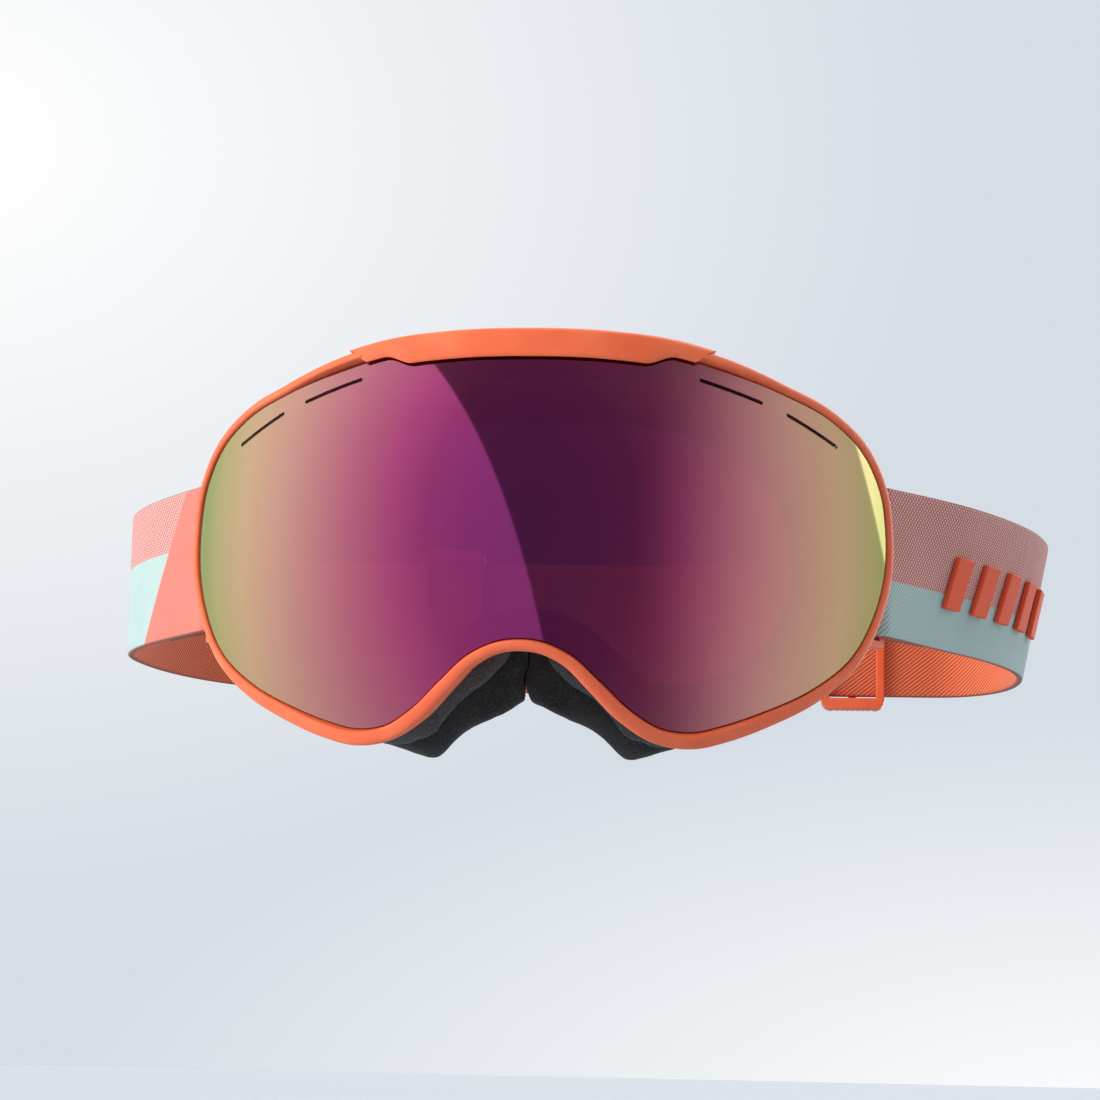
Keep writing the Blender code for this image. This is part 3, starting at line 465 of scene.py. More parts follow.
def foam(name, dark, light, pore, depth):
    """Polyurethane foam: matt, with pores of the given size that show as fine pits."""
    made, tree = new_material(name)
    place = add(tree, "TexCoord").outputs["Object"]
    cells = add(tree, "TexVoronoi", {"Vector": place, "Scale": 1 / pore})
    cloud = add(tree, "TexNoise", {"Vector": place, "Scale": 90.0, "Detail": 4.0})
    both = add(
        tree,
        "Math",
        {0: cells.outputs["Distance"], 1: 0.7, 2: cloud.outputs["Fac"]},
        operation="MULTIPLY_ADD",
    )
    shade = add(tree, "ValToRGB", {0: both.outputs[0]}, stops=((0.35, dark), (1.0, light)))
    pits = add(
        tree,
        "Bump",
        {"Height": cells.outputs["Distance"], "Distance": depth, "Strength": 0.8},
    )
    shader = add(
        tree,
        "BsdfPrincipled",
        {
            "Base Color": shade.outputs[0],
            "Roughness": 0.95,
            "Specular IOR Level": 0.2,
            "Sheen Weight": 0.08,
            "Normal": pits.outputs[0],
        },
    )
    show(tree, shader.outputs[0])
    return made


inner_lens = lens_plate(
    "lens_clear", -(LENS_THICK + LENS_SPACE), INNER_THICK, clear_acetate(), "clear_lens", 18
)
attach(inner_lens, "frame")
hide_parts("lens_inner")
# Pores of 0.3 mm are drawn twice as wide, or they wouldn't show.
gasket_foam = foam("black_open_foam", "#0A0A0A", "#2B2B2B", 0.7 * MM, 0.25 * MM)
for name in ("lens_spacer", "slot_filter_left", "slot_filter_right"):
    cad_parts[name].data.materials.clear()
    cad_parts[name].data.materials.append(gasket_foam)

# ---------------------------------------------------------------- front rim
# Moulded TPU, spark-eroded satin, in one closed hoop round both lenses, with a chamfer
# towards the lens and a flat under the brow cover.

RIM_WIDTH, RIM_WIDTH_LOW = 2.8 * MM, 4.0 * MM
RIM_PROUD = 2.1 * MM
GAP = 0.3 * MM
STACK = LENS_THICK + LENS_SPACE + INNER_THICK
RIM_BACK = -(STACK + GAP)
BROW_HALF, BROW_SLANT, BROW_SHELL = 42.5 * MM, 3.0 * MM, 1.3 * MM


def moulded_plastic(name, base, dark, light, roughness, grain):
    """Satin moulded plastic: an even colour with a fine eroded grain and a faint cloudiness."""
    made, tree = new_material(name)
    place = add(tree, "TexCoord").outputs["Object"]
    speck = add(tree, "TexNoise", {"Vector": place, "Scale": 1 / grain, "Detail": 3.0})
    cloud = add(tree, "TexNoise", {"Vector": place, "Scale": 60.0, "Detail": 3.0})
    tone = add(
        tree,
        "Math",
        {0: speck.outputs["Fac"], 1: 0.45, 2: cloud.outputs["Fac"]},
        operation="MULTIPLY_ADD",
    )
    shade = add(
        tree,
        "ValToRGB",
        {0: tone.outputs[0]},
        stops=((0.42, dark), (1.0, light), (0.72, base)),
    )
    polish = add(
        tree,
        "MapRange",
        {0: cloud.outputs["Fac"], 3: roughness - 0.05, 4: roughness + 0.07},
    )
    relief = add(
        tree, "Bump", {"Height": speck.outputs["Fac"], "Distance": 0.06 * MM, "Strength": 0.5}
    )
    shader = add(
        tree,
        "BsdfPrincipled",
        {
            "Base Color": shade.outputs[0],
            "Roughness": polish.outputs[0],
            "IOR": 1.5,
            "Normal": relief.outputs[0],
        },
    )
    show(tree, shader.outputs[0])
    return made


def along_top(x, out, lift):
    """Points by the lens's top edge at these x, moved outwards and lifted."""
    top = np.r_[-len(EDGE) // 4 : len(EDGE) // 4 + 1]
    at = [
        np.interp(x, EDGE[top, 0], values[top, k])
        for values in (EDGE_3D, EDGE_OUT, EDGE_NORMAL)
        for k in range(3)
    ]
    base, outward, normal = (np.stack(at[k : k + 3], -1) for k in (0, 3, 6))
    return base + outward * np.reshape(out, (-1, 1)) + normal * np.reshape(lift, (-1, 1))


coral = moulded_plastic("satin_coral_tpu", "#E5673F", "#DC5C36", "#EE7850", 0.42, 0.35 * MM)
low = smoothstep(-20 * MM, -45 * MM, EDGE[:, 1])
width = RIM_WIDTH + (RIM_WIDTH_LOW - RIM_WIDTH) * low
# It stands less proud of the lens at the sides, beyond the brow cover
proud = RIM_PROUD - 1.2 * MM * smoothstep(46 * MM, 70 * MM, np.abs(EDGE[:, 0]))
rim_lines = np.array(
    [
        edge_loop(0.0, 0.1 * MM),
        edge_loop(0.1 * MM, proud - 0.5 * MM),
        edge_loop(0.5 * MM, proud),
        edge_loop(width - 0.9 * MM, proud),
        edge_loop(width, proud - 0.9 * MM),
        edge_loop(width, RIM_BACK + 1.2 * MM),
        edge_loop(width - 1.2 * MM, RIM_BACK),
        edge_loop(0.0, RIM_BACK),
    ]
)
rim = swept("rim", softened(rim_lines), coral, "frame_coral", True)
step = BROW_SHELL + GAP
notch_reach = 12 * MM
across = np.linspace(-1, 1, 61)


def notch_line(out, lift):
    """One edge of the flat that the brow cover sits on."""
    wide = BROW_HALF + 0.3 * GAP + BROW_SLANT * out / RIM_WIDTH
    return along_top(across * wide, out, lift)


notch = swept(
    "cutter",
    [
        notch_line(-4 * MM, RIM_PROUD - step),
        notch_line(RIM_WIDTH - step, RIM_PROUD - step),
        notch_line(RIM_WIDTH - step, -notch_reach),
        notch_line(notch_reach, -notch_reach),
        notch_line(notch_reach, notch_reach),
        notch_line(-4 * MM, notch_reach),
    ],
    coral,
    "frame_coral",
    False,
)
carve(rim, [notch])
crisp(rim)
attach(rim, "frame")
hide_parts("front_rim")

# ---------------------------------------------------------------- brow cover
# A separate cap of the same TPU, clipped over the rim's top. Its ends are cut on a slant,
# and its lower edge hangs over the lens.

BROW_DROP, BROW_LIP = 4.2 * MM, 0.9 * MM
BROW_DROP_FULL, BROW_DROP_NONE = 29.5 * MM, 37.5 * MM
BROW_CREST = 1.2 * MM  # how far it stands above the rim


def brow_line(out, lift, hanging=False):
    """One line along the cap. A hanging one drops towards the lens between the two steps."""
    x = np.linspace(-1, 1, 181) * (BROW_HALF + BROW_SLANT * out / RIM_WIDTH)
    hang = 1 - smoothstep(BROW_DROP_FULL, BROW_DROP_NONE, np.abs(x))
    drop = BROW_LIP + (BROW_DROP - BROW_LIP) * hang
    return along_top(x, out - drop if hanging else np.full_like(x, out), lift)


front = RIM_PROUD + 0.2 * MM
brow_lines = np.array(
    [
        brow_line(-GAP, SEAT_PLAY + GAP, True),
        brow_line(-GAP, front - 1.3 * MM, True),
        brow_line(0.4 * MM, front - 0.8 * MM, True),
        brow_line(RIM_WIDTH - 0.6 * MM, front),
        brow_line(RIM_WIDTH + BROW_CREST, front - 0.9 * MM),
        brow_line(RIM_WIDTH + 0.3 * BROW_CREST, RIM_BACK),
        brow_line(RIM_WIDTH - BROW_SHELL, RIM_BACK),
        brow_line(RIM_WIDTH - BROW_SHELL, front - BROW_SHELL),
        brow_line(-GAP, front - BROW_SHELL),
        brow_line(-GAP, SEAT_PLAY + GAP),
    ]
)
brow = swept("brow_cap", softened(brow_lines, 2, 0.2), coral, "frame_coral", False)
crisp(brow)
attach(brow, "frame")
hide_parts("brow_cover")

# ---------------------------------------------------------------- face frame
# The flexible chassis, one TPU moulding: a wall from the rim back to the flange that the
# foam is glued to, with vent windows above and below, each covered inside by open foam.

FRAME_DEPTH, FRAME_WALL, FRAME_FLANGE = 18 * MM, 2.1 * MM, 8.5 * MM
VENT_SIZE = (14 * MM, 4.8 * MM)
VENTS_TOP, VENTS_LOW = (11 * MM, 32 * MM), (40 * MM, 60 * MM)
VENT_TO_FLANGE = 1.2 * MM
SEAT = EDGE * (0.912, 0.940)

flange, wall_inside = moved_out(SEAT, -FRAME_FLANGE), moved_out(SEAT, -FRAME_WALL)
foot = RIM_BACK - GAP
frame_lines = np.array(
    [
        edge_loop(0.6 * MM, foot),
        behind_lens(SEAT, FRAME_DEPTH - 1.2 * MM),
        behind_lens(SEAT, FRAME_DEPTH),
        behind_lens(flange, FRAME_DEPTH),
        behind_lens(flange, FRAME_DEPTH - FRAME_WALL),
        behind_lens(wall_inside, FRAME_DEPTH - FRAME_WALL),
        edge_loop(-2.0 * MM, foot),
    ]
)
chassis = swept("chassis", softened(frame_lines, 2, 0.12), coral, "frame_coral", True)
windows = []
for places, top in ((VENTS_TOP, True), (VENTS_LOW, False)):
    for x in (s * v for v in places for s in (-1, 1)):
        quarter = len(SEAT) // 4
        part = SEAT[np.r_[-quarter : quarter + 1]]
        if not top:
            end = int(np.argmin(SEAT[: len(SEAT) // 2, 1]))
            part = SEAT[quarter : end + 1][::-1]
        z = float(np.interp(x if top else abs(x), part[:, 0], part[:, 1]))
        depth = FRAME_DEPTH - FRAME_WALL - VENT_TO_FLANGE - VENT_SIZE[1] / 2
        slope = lens_normal(np.array([x]), np.array([z / 2]))[0]
        back = np.array([-slope[0], -slope[1], 0.0]) / math.hypot(slope[0], slope[1])
        axes = (np.array([back[1], -back[0], 0.0]), back, np.array([0.0, 0.0, 1.0]))
        centre = np.array([x, float(lens_depth(x, z)) + depth, z])
        windows.append(block(centre, axes, (*VENT_SIZE, 12 * MM), coral))
carve(chassis, windows)
crisp(chassis)
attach(chassis, "frame")
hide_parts("face_frame")
for name in ("vent_foam_top", "vent_foam_low_left", "vent_foam_low_right"):
    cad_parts[name].data.materials.clear()
    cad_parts[name].data.materials.append(gasket_foam)

# ---------------------------------------------------------------- face foam
# Three layers of polyurethane foam, flame-bonded to each other: a firm grey base glued to
# the flange, a soft black middle and a fleece face. The soft layers are one strip whose ends
# meet in a fold over the nose.

FOAM_OUTLINE = (
    (0.0, 0.041), (0.330, 0.046), (0.604, 0.100), (0.791, 0.193), (0.879, 0.356),
    (0.901, 0.508), (0.879, 0.660), (0.802, 0.813), (0.681, 0.925), (0.549, 0.996),
    (0.418, 1.026), (0.341, 1.047), (0.280, 1.062), (0.246, 1.056), (0.223, 1.029),
    (0.191, 1.004), (0.151, 0.979), (0.099, 0.962), (0.055, 0.930), (0.0, 0.880),
)
FOAM_OPENING = (
    (0.0, 0.168), (0.286, 0.174), (0.505, 0.219), (0.659, 0.320), (0.709, 0.427),
    (0.725, 0.508), (0.709, 0.610), (0.659, 0.711), (0.571, 0.793), (0.467, 0.833),
    (0.385, 0.843), (0.319, 0.835), (0.264, 0.817), (0.225, 0.795), (0.190, 0.775),
    (0.155, 0.758), (0.118, 0.745), (0.080, 0.737), (0.040, 0.733), (0.0, 0.732),
)
FOAM_SHRINK = 0.45 * MM  # left for the foam to swell into
FOAM_VOXEL = 1.4 * MM
FOAM_SWELL = 0.7 * MM  # the most that any point may move
FOAM_MASS = 0.0001  # kg of each point while the foam swells
SLIT_KEPT = 2.6 * MM  # half the gap at the nose while the foam swells
SLIT_CLOSED = 0.12 * MM  # and half of it once the two ends are drawn together
SLIT_REACH = 9 * MM  # how far from the middle the foam is drawn along


def padded_ring(name, outer, start, thick, finish, slot, opened):
    """One foam layer between its outer edge and the opening, with its corners eased. An
    opened layer is a strip that stops short of the middle at the nose."""
    s, ease = FOAM_SHRINK, min(1.3 * MM, thick * 0.3)
    lines = []
    for edge, depth, inward, sign in (
        (outer, start + s, ease, 1),
        (outer, start + s + ease, 0, 1),
        (outer, start + thick - s - ease, 0, 1),
        (outer, start + thick - s, ease, 1),
        (foam_opening, start + thick - s, ease, -1),
        (foam_opening, start + thick - s - ease, 0, -1),
        (foam_opening, start + s + ease, 0, -1),
        (foam_opening, start + s, ease, -1),
    ):
        line = behind_lens(moved_out(edge, -sign * (s + inward)), depth)
        if opened:
            line = np.roll(line, -len(line) // 2, 0)
            line = np.vstack([line, line[:1]])
            line[0, 0], line[-1, 0] = -SLIT_KEPT, SLIT_KEPT
            crossed = (np.abs(line[:, 0]) < SLIT_KEPT) & (line[:, 2] <= 0)
            line[crossed, 0] = np.sign(line[crossed, 0]) * SLIT_KEPT
        lines.append(line)
    return swept(name, softened(np.array(lines), 1), finish, slot, not opened)


def settled(piece, kinds, **settings):
    """The piece with these modifiers applied in turn, as a new mesh."""
    for kind in kinds:
        modifier = piece.modifiers.new(kind, kind)
        for key, value in settings.get(kind.lower(), {}).items():
            setattr(modifier, key, value)
    baked(piece)


def coordinates(mesh):
    """All the points of a mesh, in this script's own frame."""
    places = np.zeros(len(mesh.vertices) * 3)
    mesh.vertices.foreach_get("co", places)
    return places.reshape(-1, 3) - ORIGIN


def swollen(piece):
    """Blows the foam up from inside as cloth under pressure for twenty steps. A point that
    moves further than the cap is brought back to it."""
    settled(
        piece,
        ("REMESH", "SMOOTH"),
        remesh={"mode": "VOXEL", "voxel_size": FOAM_VOXEL},
        smooth={"factor": 0.5, "iterations": 16},
    )
    before = coordinates(piece.data)
    cloth = piece.modifiers.new("pressure", "CLOTH")
    cloth.settings.quality = 4
    cloth.settings.mass = FOAM_MASS
    cloth.settings.tension_stiffness = 8
    cloth.settings.compression_stiffness = 8
    cloth.settings.bending_stiffness = 0.2
    cloth.settings.use_pressure = True
    cloth.settings.uniform_pressure_force = 4
    cloth.settings.effector_weights.gravity = 0
    cloth.point_cache.frame_start, cloth.point_cache.frame_end = 1, 20
    for step in range(1, 21):
        bpy.context.scene.frame_set(step)
    evaluated = piece.evaluated_get(bpy.context.evaluated_depsgraph_get())
    after = coordinates(evaluated.data)
    piece.modifiers.clear()
    bpy.context.scene.frame_set(1)
    moved = after - before
    length = np.linalg.norm(moved, axis=1)
    moved *= np.minimum(1, FOAM_SWELL / np.maximum(length, 1e-9))[:, None]
    piece.data.vertices.foreach_set("co", (before + moved + ORIGIN).ravel())
    settled(
        piece,
        ("SMOOTH", "SUBSURF"),
        smooth={"factor": 0.5, "iterations": 12},
        subsurf={"levels": 1},
    )
    piece.data.shade_smooth()


foam_outer = closed_outline(FOAM_OUTLINE, 480)
foam_opening = closed_outline(FOAM_OPENING, 480)
# Towards the nose the base steps further back, and the soft strip folds forwards over it.
from_middle = np.abs(foam_outer[:, 0])
back_step = np.interp(
    from_middle,
    np.array([0, 2.5, 4, 8, 12, 20, 27, 31, 36, 50]) * MM,
    np.array([11.5, 10.5, 9.6, 8.6, 7.4, 5.6, 3.6, 0.6, -1.1, 0]) * MM,
)
base_edge = foam_outer + np.stack(
    [0 * from_middle, back_step * smoothstep(-20 * MM, -30 * MM, foam_outer[:, 1])], 1
)
grey_foam = foam("grey_base_foam", "#242627", "#4E5152", 0.6 * MM, 0.2 * MM)
black_foam = foam("black_face_foam", "#131415", "#343637", 0.6 * MM, 0.2 * MM)
fleece = foam("black_fleece", "#0D0D0E", "#2A2A2C", 0.9 * MM, 0.3 * MM)
fleece_edge = moved_out(foam_outer, -0.8 * MM)
layer_start = FRAME_DEPTH + GAP
for name, node, edge, thick, finish, slot, opened in (
    ("foam_firm", "foam_base", base_edge, 4.5 * MM, grey_foam, "foam_grey", False),
    ("foam_soft", "foam_mid", foam_outer, 9.0 * MM, black_foam, "foam_black", True),
    ("fleece_face", "fleece_liner", fleece_edge, 3.5 * MM, fleece, "fleece", True),
):
    piece = padded_ring(name, edge, layer_start, thick, finish, slot, opened)
    swollen(piece)
    places = coordinates(piece.data)
    if opened:
        # Close the two ends on an S-shaped line, and let them bulge forwards at the nose
        x, z = places[:, 0], places[:, 2]
        near = (np.abs(x) < SLIT_REACH) & (z < 0)
        levels = np.arange(-38.5, -22, 1.5) * MM
        gaps = [np.abs(x[np.abs(z - v) < 1.2 * MM]).min() for v in levels]
        open_half = np.interp(z, levels, gaps)
        side = np.sign(x)
        share = np.clip((np.abs(x) - open_half) / (SLIT_REACH - open_half), 0, 1)
        drawn = SLIT_CLOSED + share * (SLIT_REACH - SLIT_CLOSED)
        wave = np.interp(
            z, np.array([-38.5, -36.5, -34.5, -32.5, -30.5, -28.5]) * MM,
            np.array([-0.9, -1.2, -1.8, -1.6, -0.6, -0.5]) * MM,
        )
        fall = 1 - smoothstep(2 * MM, SLIT_REACH, np.abs(x))
        places[:, 0] = np.where(near, side * drawn + wave * fall, x)
        low_end = (1 - smoothstep(0, 3.5 * MM, np.abs(x))) * smoothstep(-33 * MM, -36 * MM, z)
        places[:, 2] -= 0.9 * MM * low_end
        if node == "foam_mid":
            deep = places[:, 1] - lens_depth(places[:, 0], places[:, 2]) - layer_start
            front_share = 1 - smoothstep(0, 0.5 * thick, deep)
            bulge = 1 - smoothstep(1.5 * MM, 5.5 * MM, np.abs(places[:, 0]))
            places[:, 1] -= np.where(near, 1.8 * MM * front_share * bulge, 0)
        piece.data.vertices.foreach_set("co", (places + ORIGIN).ravel())
    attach(piece, "frame")
    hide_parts(node)
    layer_start += thick + GAP

# ---------------------------------------------------------------- strap brackets
# Two TPU loops moulded on to the sides of the chassis, each with a bar for the strap.

BRACKET_STANDOFF, BRACKET_REACH = 2.8 * MM, 5.0 * MM
BEHIND_RIM = 1.6 * MM
STRAP_BAR = 1.1 * MM  # radius


def eased(name, node, finish, body, radius):
    """The node's own shape, with the triangles of each flat face joined and its edges
    rounded off."""
    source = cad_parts[node]
    mesh = source.data.copy()
    mesh.transform(source.matrix_world)
    mesh.materials.clear()
    mesh.materials.append(finish)
    piece = bpy.data.objects.new(name, mesh)
    bpy.context.scene.collection.objects.link(piece)
    settled(
        piece,
        ("WELD", "DECIMATE", "BEVEL"),
        weld={"merge_threshold": 1e-6},
        decimate={"decimate_type": "DISSOLVE", "angle_limit": math.radians(0.6)},
        bevel={
            "width": radius, "segments": 3, "limit_method": "ANGLE",
            "angle_limit": math.radians(40), "use_clamp_overlap": True,
        },
    )
    crisp(piece)
    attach(piece, body)
    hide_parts(node)
    return piece


for side in ("left", "right"):
    node = f"strap_bracket_{side}"
    eased(f"bracket_{side}", node, coral, "frame", 0.4 * MM)

# ---------------------------------------------------------------- strap
# Two bands of 40 mm jacquard elastic. The face is woven in pink and mint, with a solid
# salmon field at one end; the inner side is an orange diagonal twill. Each band is folded
# round its bracket's bar and sewn back on itself.

STRAP_HEIGHT, STRAP_THICK = 40 * MM, 2.0 * MM
STRAP_BACK_Y = SIDE_DEPTH + 154.8 * MM
SIDE_END = 105.8 * MM  # of the stretch beside the head, behind the lens's side edge
LEAN_FULL = 44 * MM
FOLD_LENGTH = 29 * MM
TAIL_LENGTH = 30 * MM
SLIDER_LENGTH = 19.5 * MM
BAND_STEP = 1.3 * MM

side_edge = int(np.argmax(EDGE[:, 0]))
edge_at = EDGE_3D[side_edge] * (1, 1, 0)
leave = EDGE_OUT[side_edge] * (1, 1, 0)
leave /= np.linalg.norm(leave)
away = np.array([leave[1], -leave[0], 0.0])
strap_start = (
    edge_at
    + leave * (RIM_WIDTH + 2 * GAP)
    + away * (RIM_BACK - BEHIND_RIM + STRAP_BAR + GAP + STRAP_THICK / 2)
)


class Band:
    """One band as a ribbon that places can be read from: along it, out and up."""

    def __init__(self, side, bulge, widest, straight, layer, lean):
        """The plan is a cubic curve from the bracket to the widest point, a quarter of an
        ellipse round the corner and a straight line behind the head."""
        start, reach, widest = strap_start[:2], HALF_WIDTH + bulge, SIDE_DEPTH + widest
        back = STRAP_BACK_Y + layer * (STRAP_THICK + GAP)
        t = np.linspace(0, 1, 400)[:, None]
        span = math.hypot(reach - start[0], widest - start[1])
        beside = start * (1 + 2 * t) * (1 - t) ** 2 + leave[:2] * span * t * (1 - t) ** 2
        beside += np.array([reach, widest]) * t**2 * (3 - 2 * t)
        beside += np.array([0.0, span]) * t**2 * (t - 1)
        angle = np.linspace(0, math.pi / 2, 300)[1:, None]
        corner = np.hstack(
            [
                straight + (reach - straight) * np.cos(angle),
                widest + (back - widest) * np.sin(angle),
            ]
        )
        end = np.stack([np.linspace(straight, -120 * MM, 300)[1:], np.full(299, back)], 1)
        self.plan = np.vstack([beside, corner, end])
        run = np.gradient(self.plan, axis=0)
        run /= np.linalg.norm(run, axis=1)[:, None]
        self.out = np.stack([run[:, 1], -run[:, 0]], 1)
        step = np.linalg.norm(np.diff(self.plan, axis=0), axis=1)
        self.along = np.append(0, np.cumsum(step))
        self.side = side
        rise = smoothstep(0, self.at_y(SIDE_DEPTH + LEAN_FULL), self.along)
        drop = 1 - smoothstep(self.at_y(widest), self.at_x(straight), self.along)
        self.lean = lean * np.minimum(rise, drop)

    def at_y(self, y):
        """How far along the band its middle line reaches this depth, beside the head."""
        end = int(np.argmax(self.plan[:, 1]))
        return float(np.interp(y, self.plan[: end + 1, 1], self.along[: end + 1]))

    def at_x(self, x):
        """How far along the band its middle line reaches this x, behind the head."""
        start = int(np.argmax(self.plan[:, 0]))
        return float(np.interp(-x, -self.plan[start:, 0], self.along[start:]))

    def points(self, along, out, up):
        """Places out from the band's middle layer and up from its middle line, leaning out
        at the top by the band's own lean there."""
        x, y, ox, oy, lean = (
            np.interp(along, self.along, v) for v in (*self.plan.T, *self.out.T, self.lean)
        )
        push = out * np.cos(lean) + up * np.sin(lean)
        z = STRAP_RISE + up * np.cos(lean) - out * np.sin(lean)
        return np.stack([(x + ox * push) * self.side, y + oy * push, z], -1)


def ribbon(name, band, path, finish, mint_line, salmon_line, reversed_until=None):
    """A length of webbing along a path of (along, out) places. Its section is a flat bar
    with rounded selvedges. Each point carries how far it lies below the pink field, inside
    the salmon one, and whether it's on the face or the inner side."""
    path = np.asarray(path)
    step = np.append(0, np.cumsum(np.linalg.norm(np.diff(path, axis=0), axis=1)))
    count = max(int(step[-1] / BAND_STEP), 2)
    at = np.linspace(0, step[-1], count)
    path = np.stack([np.interp(at, step, path[:, k]) for k in (0, 1)], 1)
    run = np.gradient(path, axis=0)
    run /= np.linalg.norm(run, axis=1)[:, None]
    turned = np.stack([-run[:, 1], run[:, 0]], 1)
    h, t, r = STRAP_HEIGHT / 2, STRAP_THICK / 2, 0.75 * MM
    arc = np.linspace(0, math.pi / 2, 4)
    corner = np.stack([t - r + r * np.cos(arc), h - r + r * np.sin(arc)], 1)
    side = np.linspace(-h + r, h - r, 14)[1:-1]
    face = np.stack([np.full_like(side, t), side], 1)
    half = np.vstack([corner[::-1] * (1, -1), face, corner])
    section = np.vstack([half, half[::-1] * (-1, 1)])
    lines, uv, outer = [], [], []
    for n, up in section:
        spot = path + turned * n
        lines.append(band.points(spot[:, 0], spot[:, 1], np.full(count, up)))
        uv.append(np.stack([at + path[0, 0], np.full(count, up)], 1))
        outer.append(np.full(count, 0.5 + 0.5 * n / t))
    uv, outer = np.concatenate(uv), np.array(outer)
    if reversed_until:
        outer[:, at < reversed_until] = np.minimum(outer[:, at < reversed_until], 0.5)
    along = np.tile(path[:, 0], len(section))
    up = uv[:, 1]
    values = {
        "face": outer.ravel(),
        "mint": (mint_line - up) / MM,
        "salmon": (salmon_line[0] + salmon_line[1] * (up / STRAP_HEIGHT + 0.5) - along) / MM,
    }
    return swept(name, lines, finish, "webbing", False, uv=uv, values=values)


def webbing():
    """Jacquard elastic. The pink is a grid of dots where two diagonal sets of threads cross,
    the mint, the salmon and the orange side are twills."""
    made, tree = new_material("jacquard_elastic")
    uv = add(tree, "UVMap", uv_map="UVMap").outputs[0]
    waves = []
    for turn, pitch in ((38, 0.95), (-38, 0.95), (40, 0.9), (-52, 0.95)):
        turned = add(tree, "Mapping", {0: uv, "Rotation": (0, 0, math.radians(turn))})
        wave = add(
            tree, "TexWave", {0: turned.outputs[0], "Scale": 0.31416 / (pitch * MM)}
        )
        waves.append(wave.outputs["Fac"])
    attribute = {
        key: add(tree, "Attribute", attribute_name=key).outputs["Fac"]
        for key in ("face", "mint", "salmon")
    }
    thread = add(tree, "TexNoise", {0: uv, "Scale": 1100.0, "Detail": 3.0}).outputs["Fac"]
    blot = add(tree, "TexNoise", {0: uv, "Scale": 45.0, "Detail": 2.0}).outputs["Fac"]
    knots = add(tree, "Math", {0: waves[0], 1: waves[1]}, operation="MULTIPLY").outputs[0]
    pink = add(
        tree, "ValToRGB", {0: knots},
        stops=((0.03, "#A05D5A"), (0.7, "#EBC0B7"), (0.25, "#D0948C")),
    )
    mint = add(
        tree, "ValToRGB", {0: waves[2]},
        stops=((0.1, "#8AA8A5"), (0.9, "#B8CCC9"), (0.5, "#A8BFBC")),
    )
    salmon = add(
        tree, "ValToRGB", {0: waves[2]}, stops=((0.0, "#CB6B5E"), (1.0, "#D67A6D"))
    )
    inner = add(
        tree, "ValToRGB", {0: waves[3]},
        stops=((0.12, "#A94A31"), (0.85, "#E67B57"), (0.5, "#D86844")),
    )
    fields = []
    for key, soft in (("mint", 0.25), ("salmon", 0.4), ("face", 0.12)):
        low = 0.5 - soft if key == "face" else -soft
        high = 0.5 + soft if key == "face" else soft
        part = add(tree, "MapRange", {0: attribute[key], 1: low, 2: high})
        fields.append(part.outputs[0])
    tone = pink.outputs[0]
    for share, other in zip(fields[:2], (mint, salmon)):
        mixed = add(tree, "Mix", {0: share, 6: tone, 7: other.outputs[0]}, data_type="RGBA")
        tone = mixed.outputs[2]
    both = add(tree, "Mix", {0: fields[2], 6: inner.outputs[0], 7: tone}, data_type="RGBA")
    # The selvedges are bound in brown
    rim_share = add(tree, "Math", {0: attribute["face"], 1: 0.5}, operation="SUBTRACT")
    rim_share = add(tree, "Math", {0: rim_share.outputs[0]}, operation="ABSOLUTE")
    bound = add(tree, "MapRange", {0: rim_share.outputs[0], 1: 0.47, 2: 0.36})
    edged = add(
        tree, "Mix", {0: bound.outputs[0], 6: both.outputs[2], 7: colour("#8E4A38")},
        data_type="RGBA",
    )
    shade = add(tree, "MapRange", {0: blot, 3: 0.9, 4: 1.06})
    worn = add(
        tree, "Mix", {0: 1.0, 6: edged.outputs[2], 7: shade.outputs[0]},
        data_type="RGBA", blend_type="MULTIPLY",
    )
    outer_relief = add(tree, "Mix", {0: fields[0], 2: knots, 3: waves[2]})
    relief = add(tree, "Mix", {0: fields[2], 2: waves[3], 3: outer_relief.outputs[0]})
    relief = add(
        tree, "Math", {0: thread, 1: 0.35, 2: relief.outputs[0]}, operation="MULTIPLY_ADD"
    )
    bump = add(
        tree, "Bump", {"Height": relief.outputs[0], "Distance": 0.1 * MM, "Strength": 0.7}
    )
    shader = add(
        tree,
        "BsdfPrincipled",
        {
            "Base Color": worn.outputs[2], "Roughness": 0.85, "Specular IOR Level": 0.25,
            "Sheen Weight": 0.15, "Normal": bump.outputs[0],
        },
    )
    show(tree, shader.outputs[0])
    return made


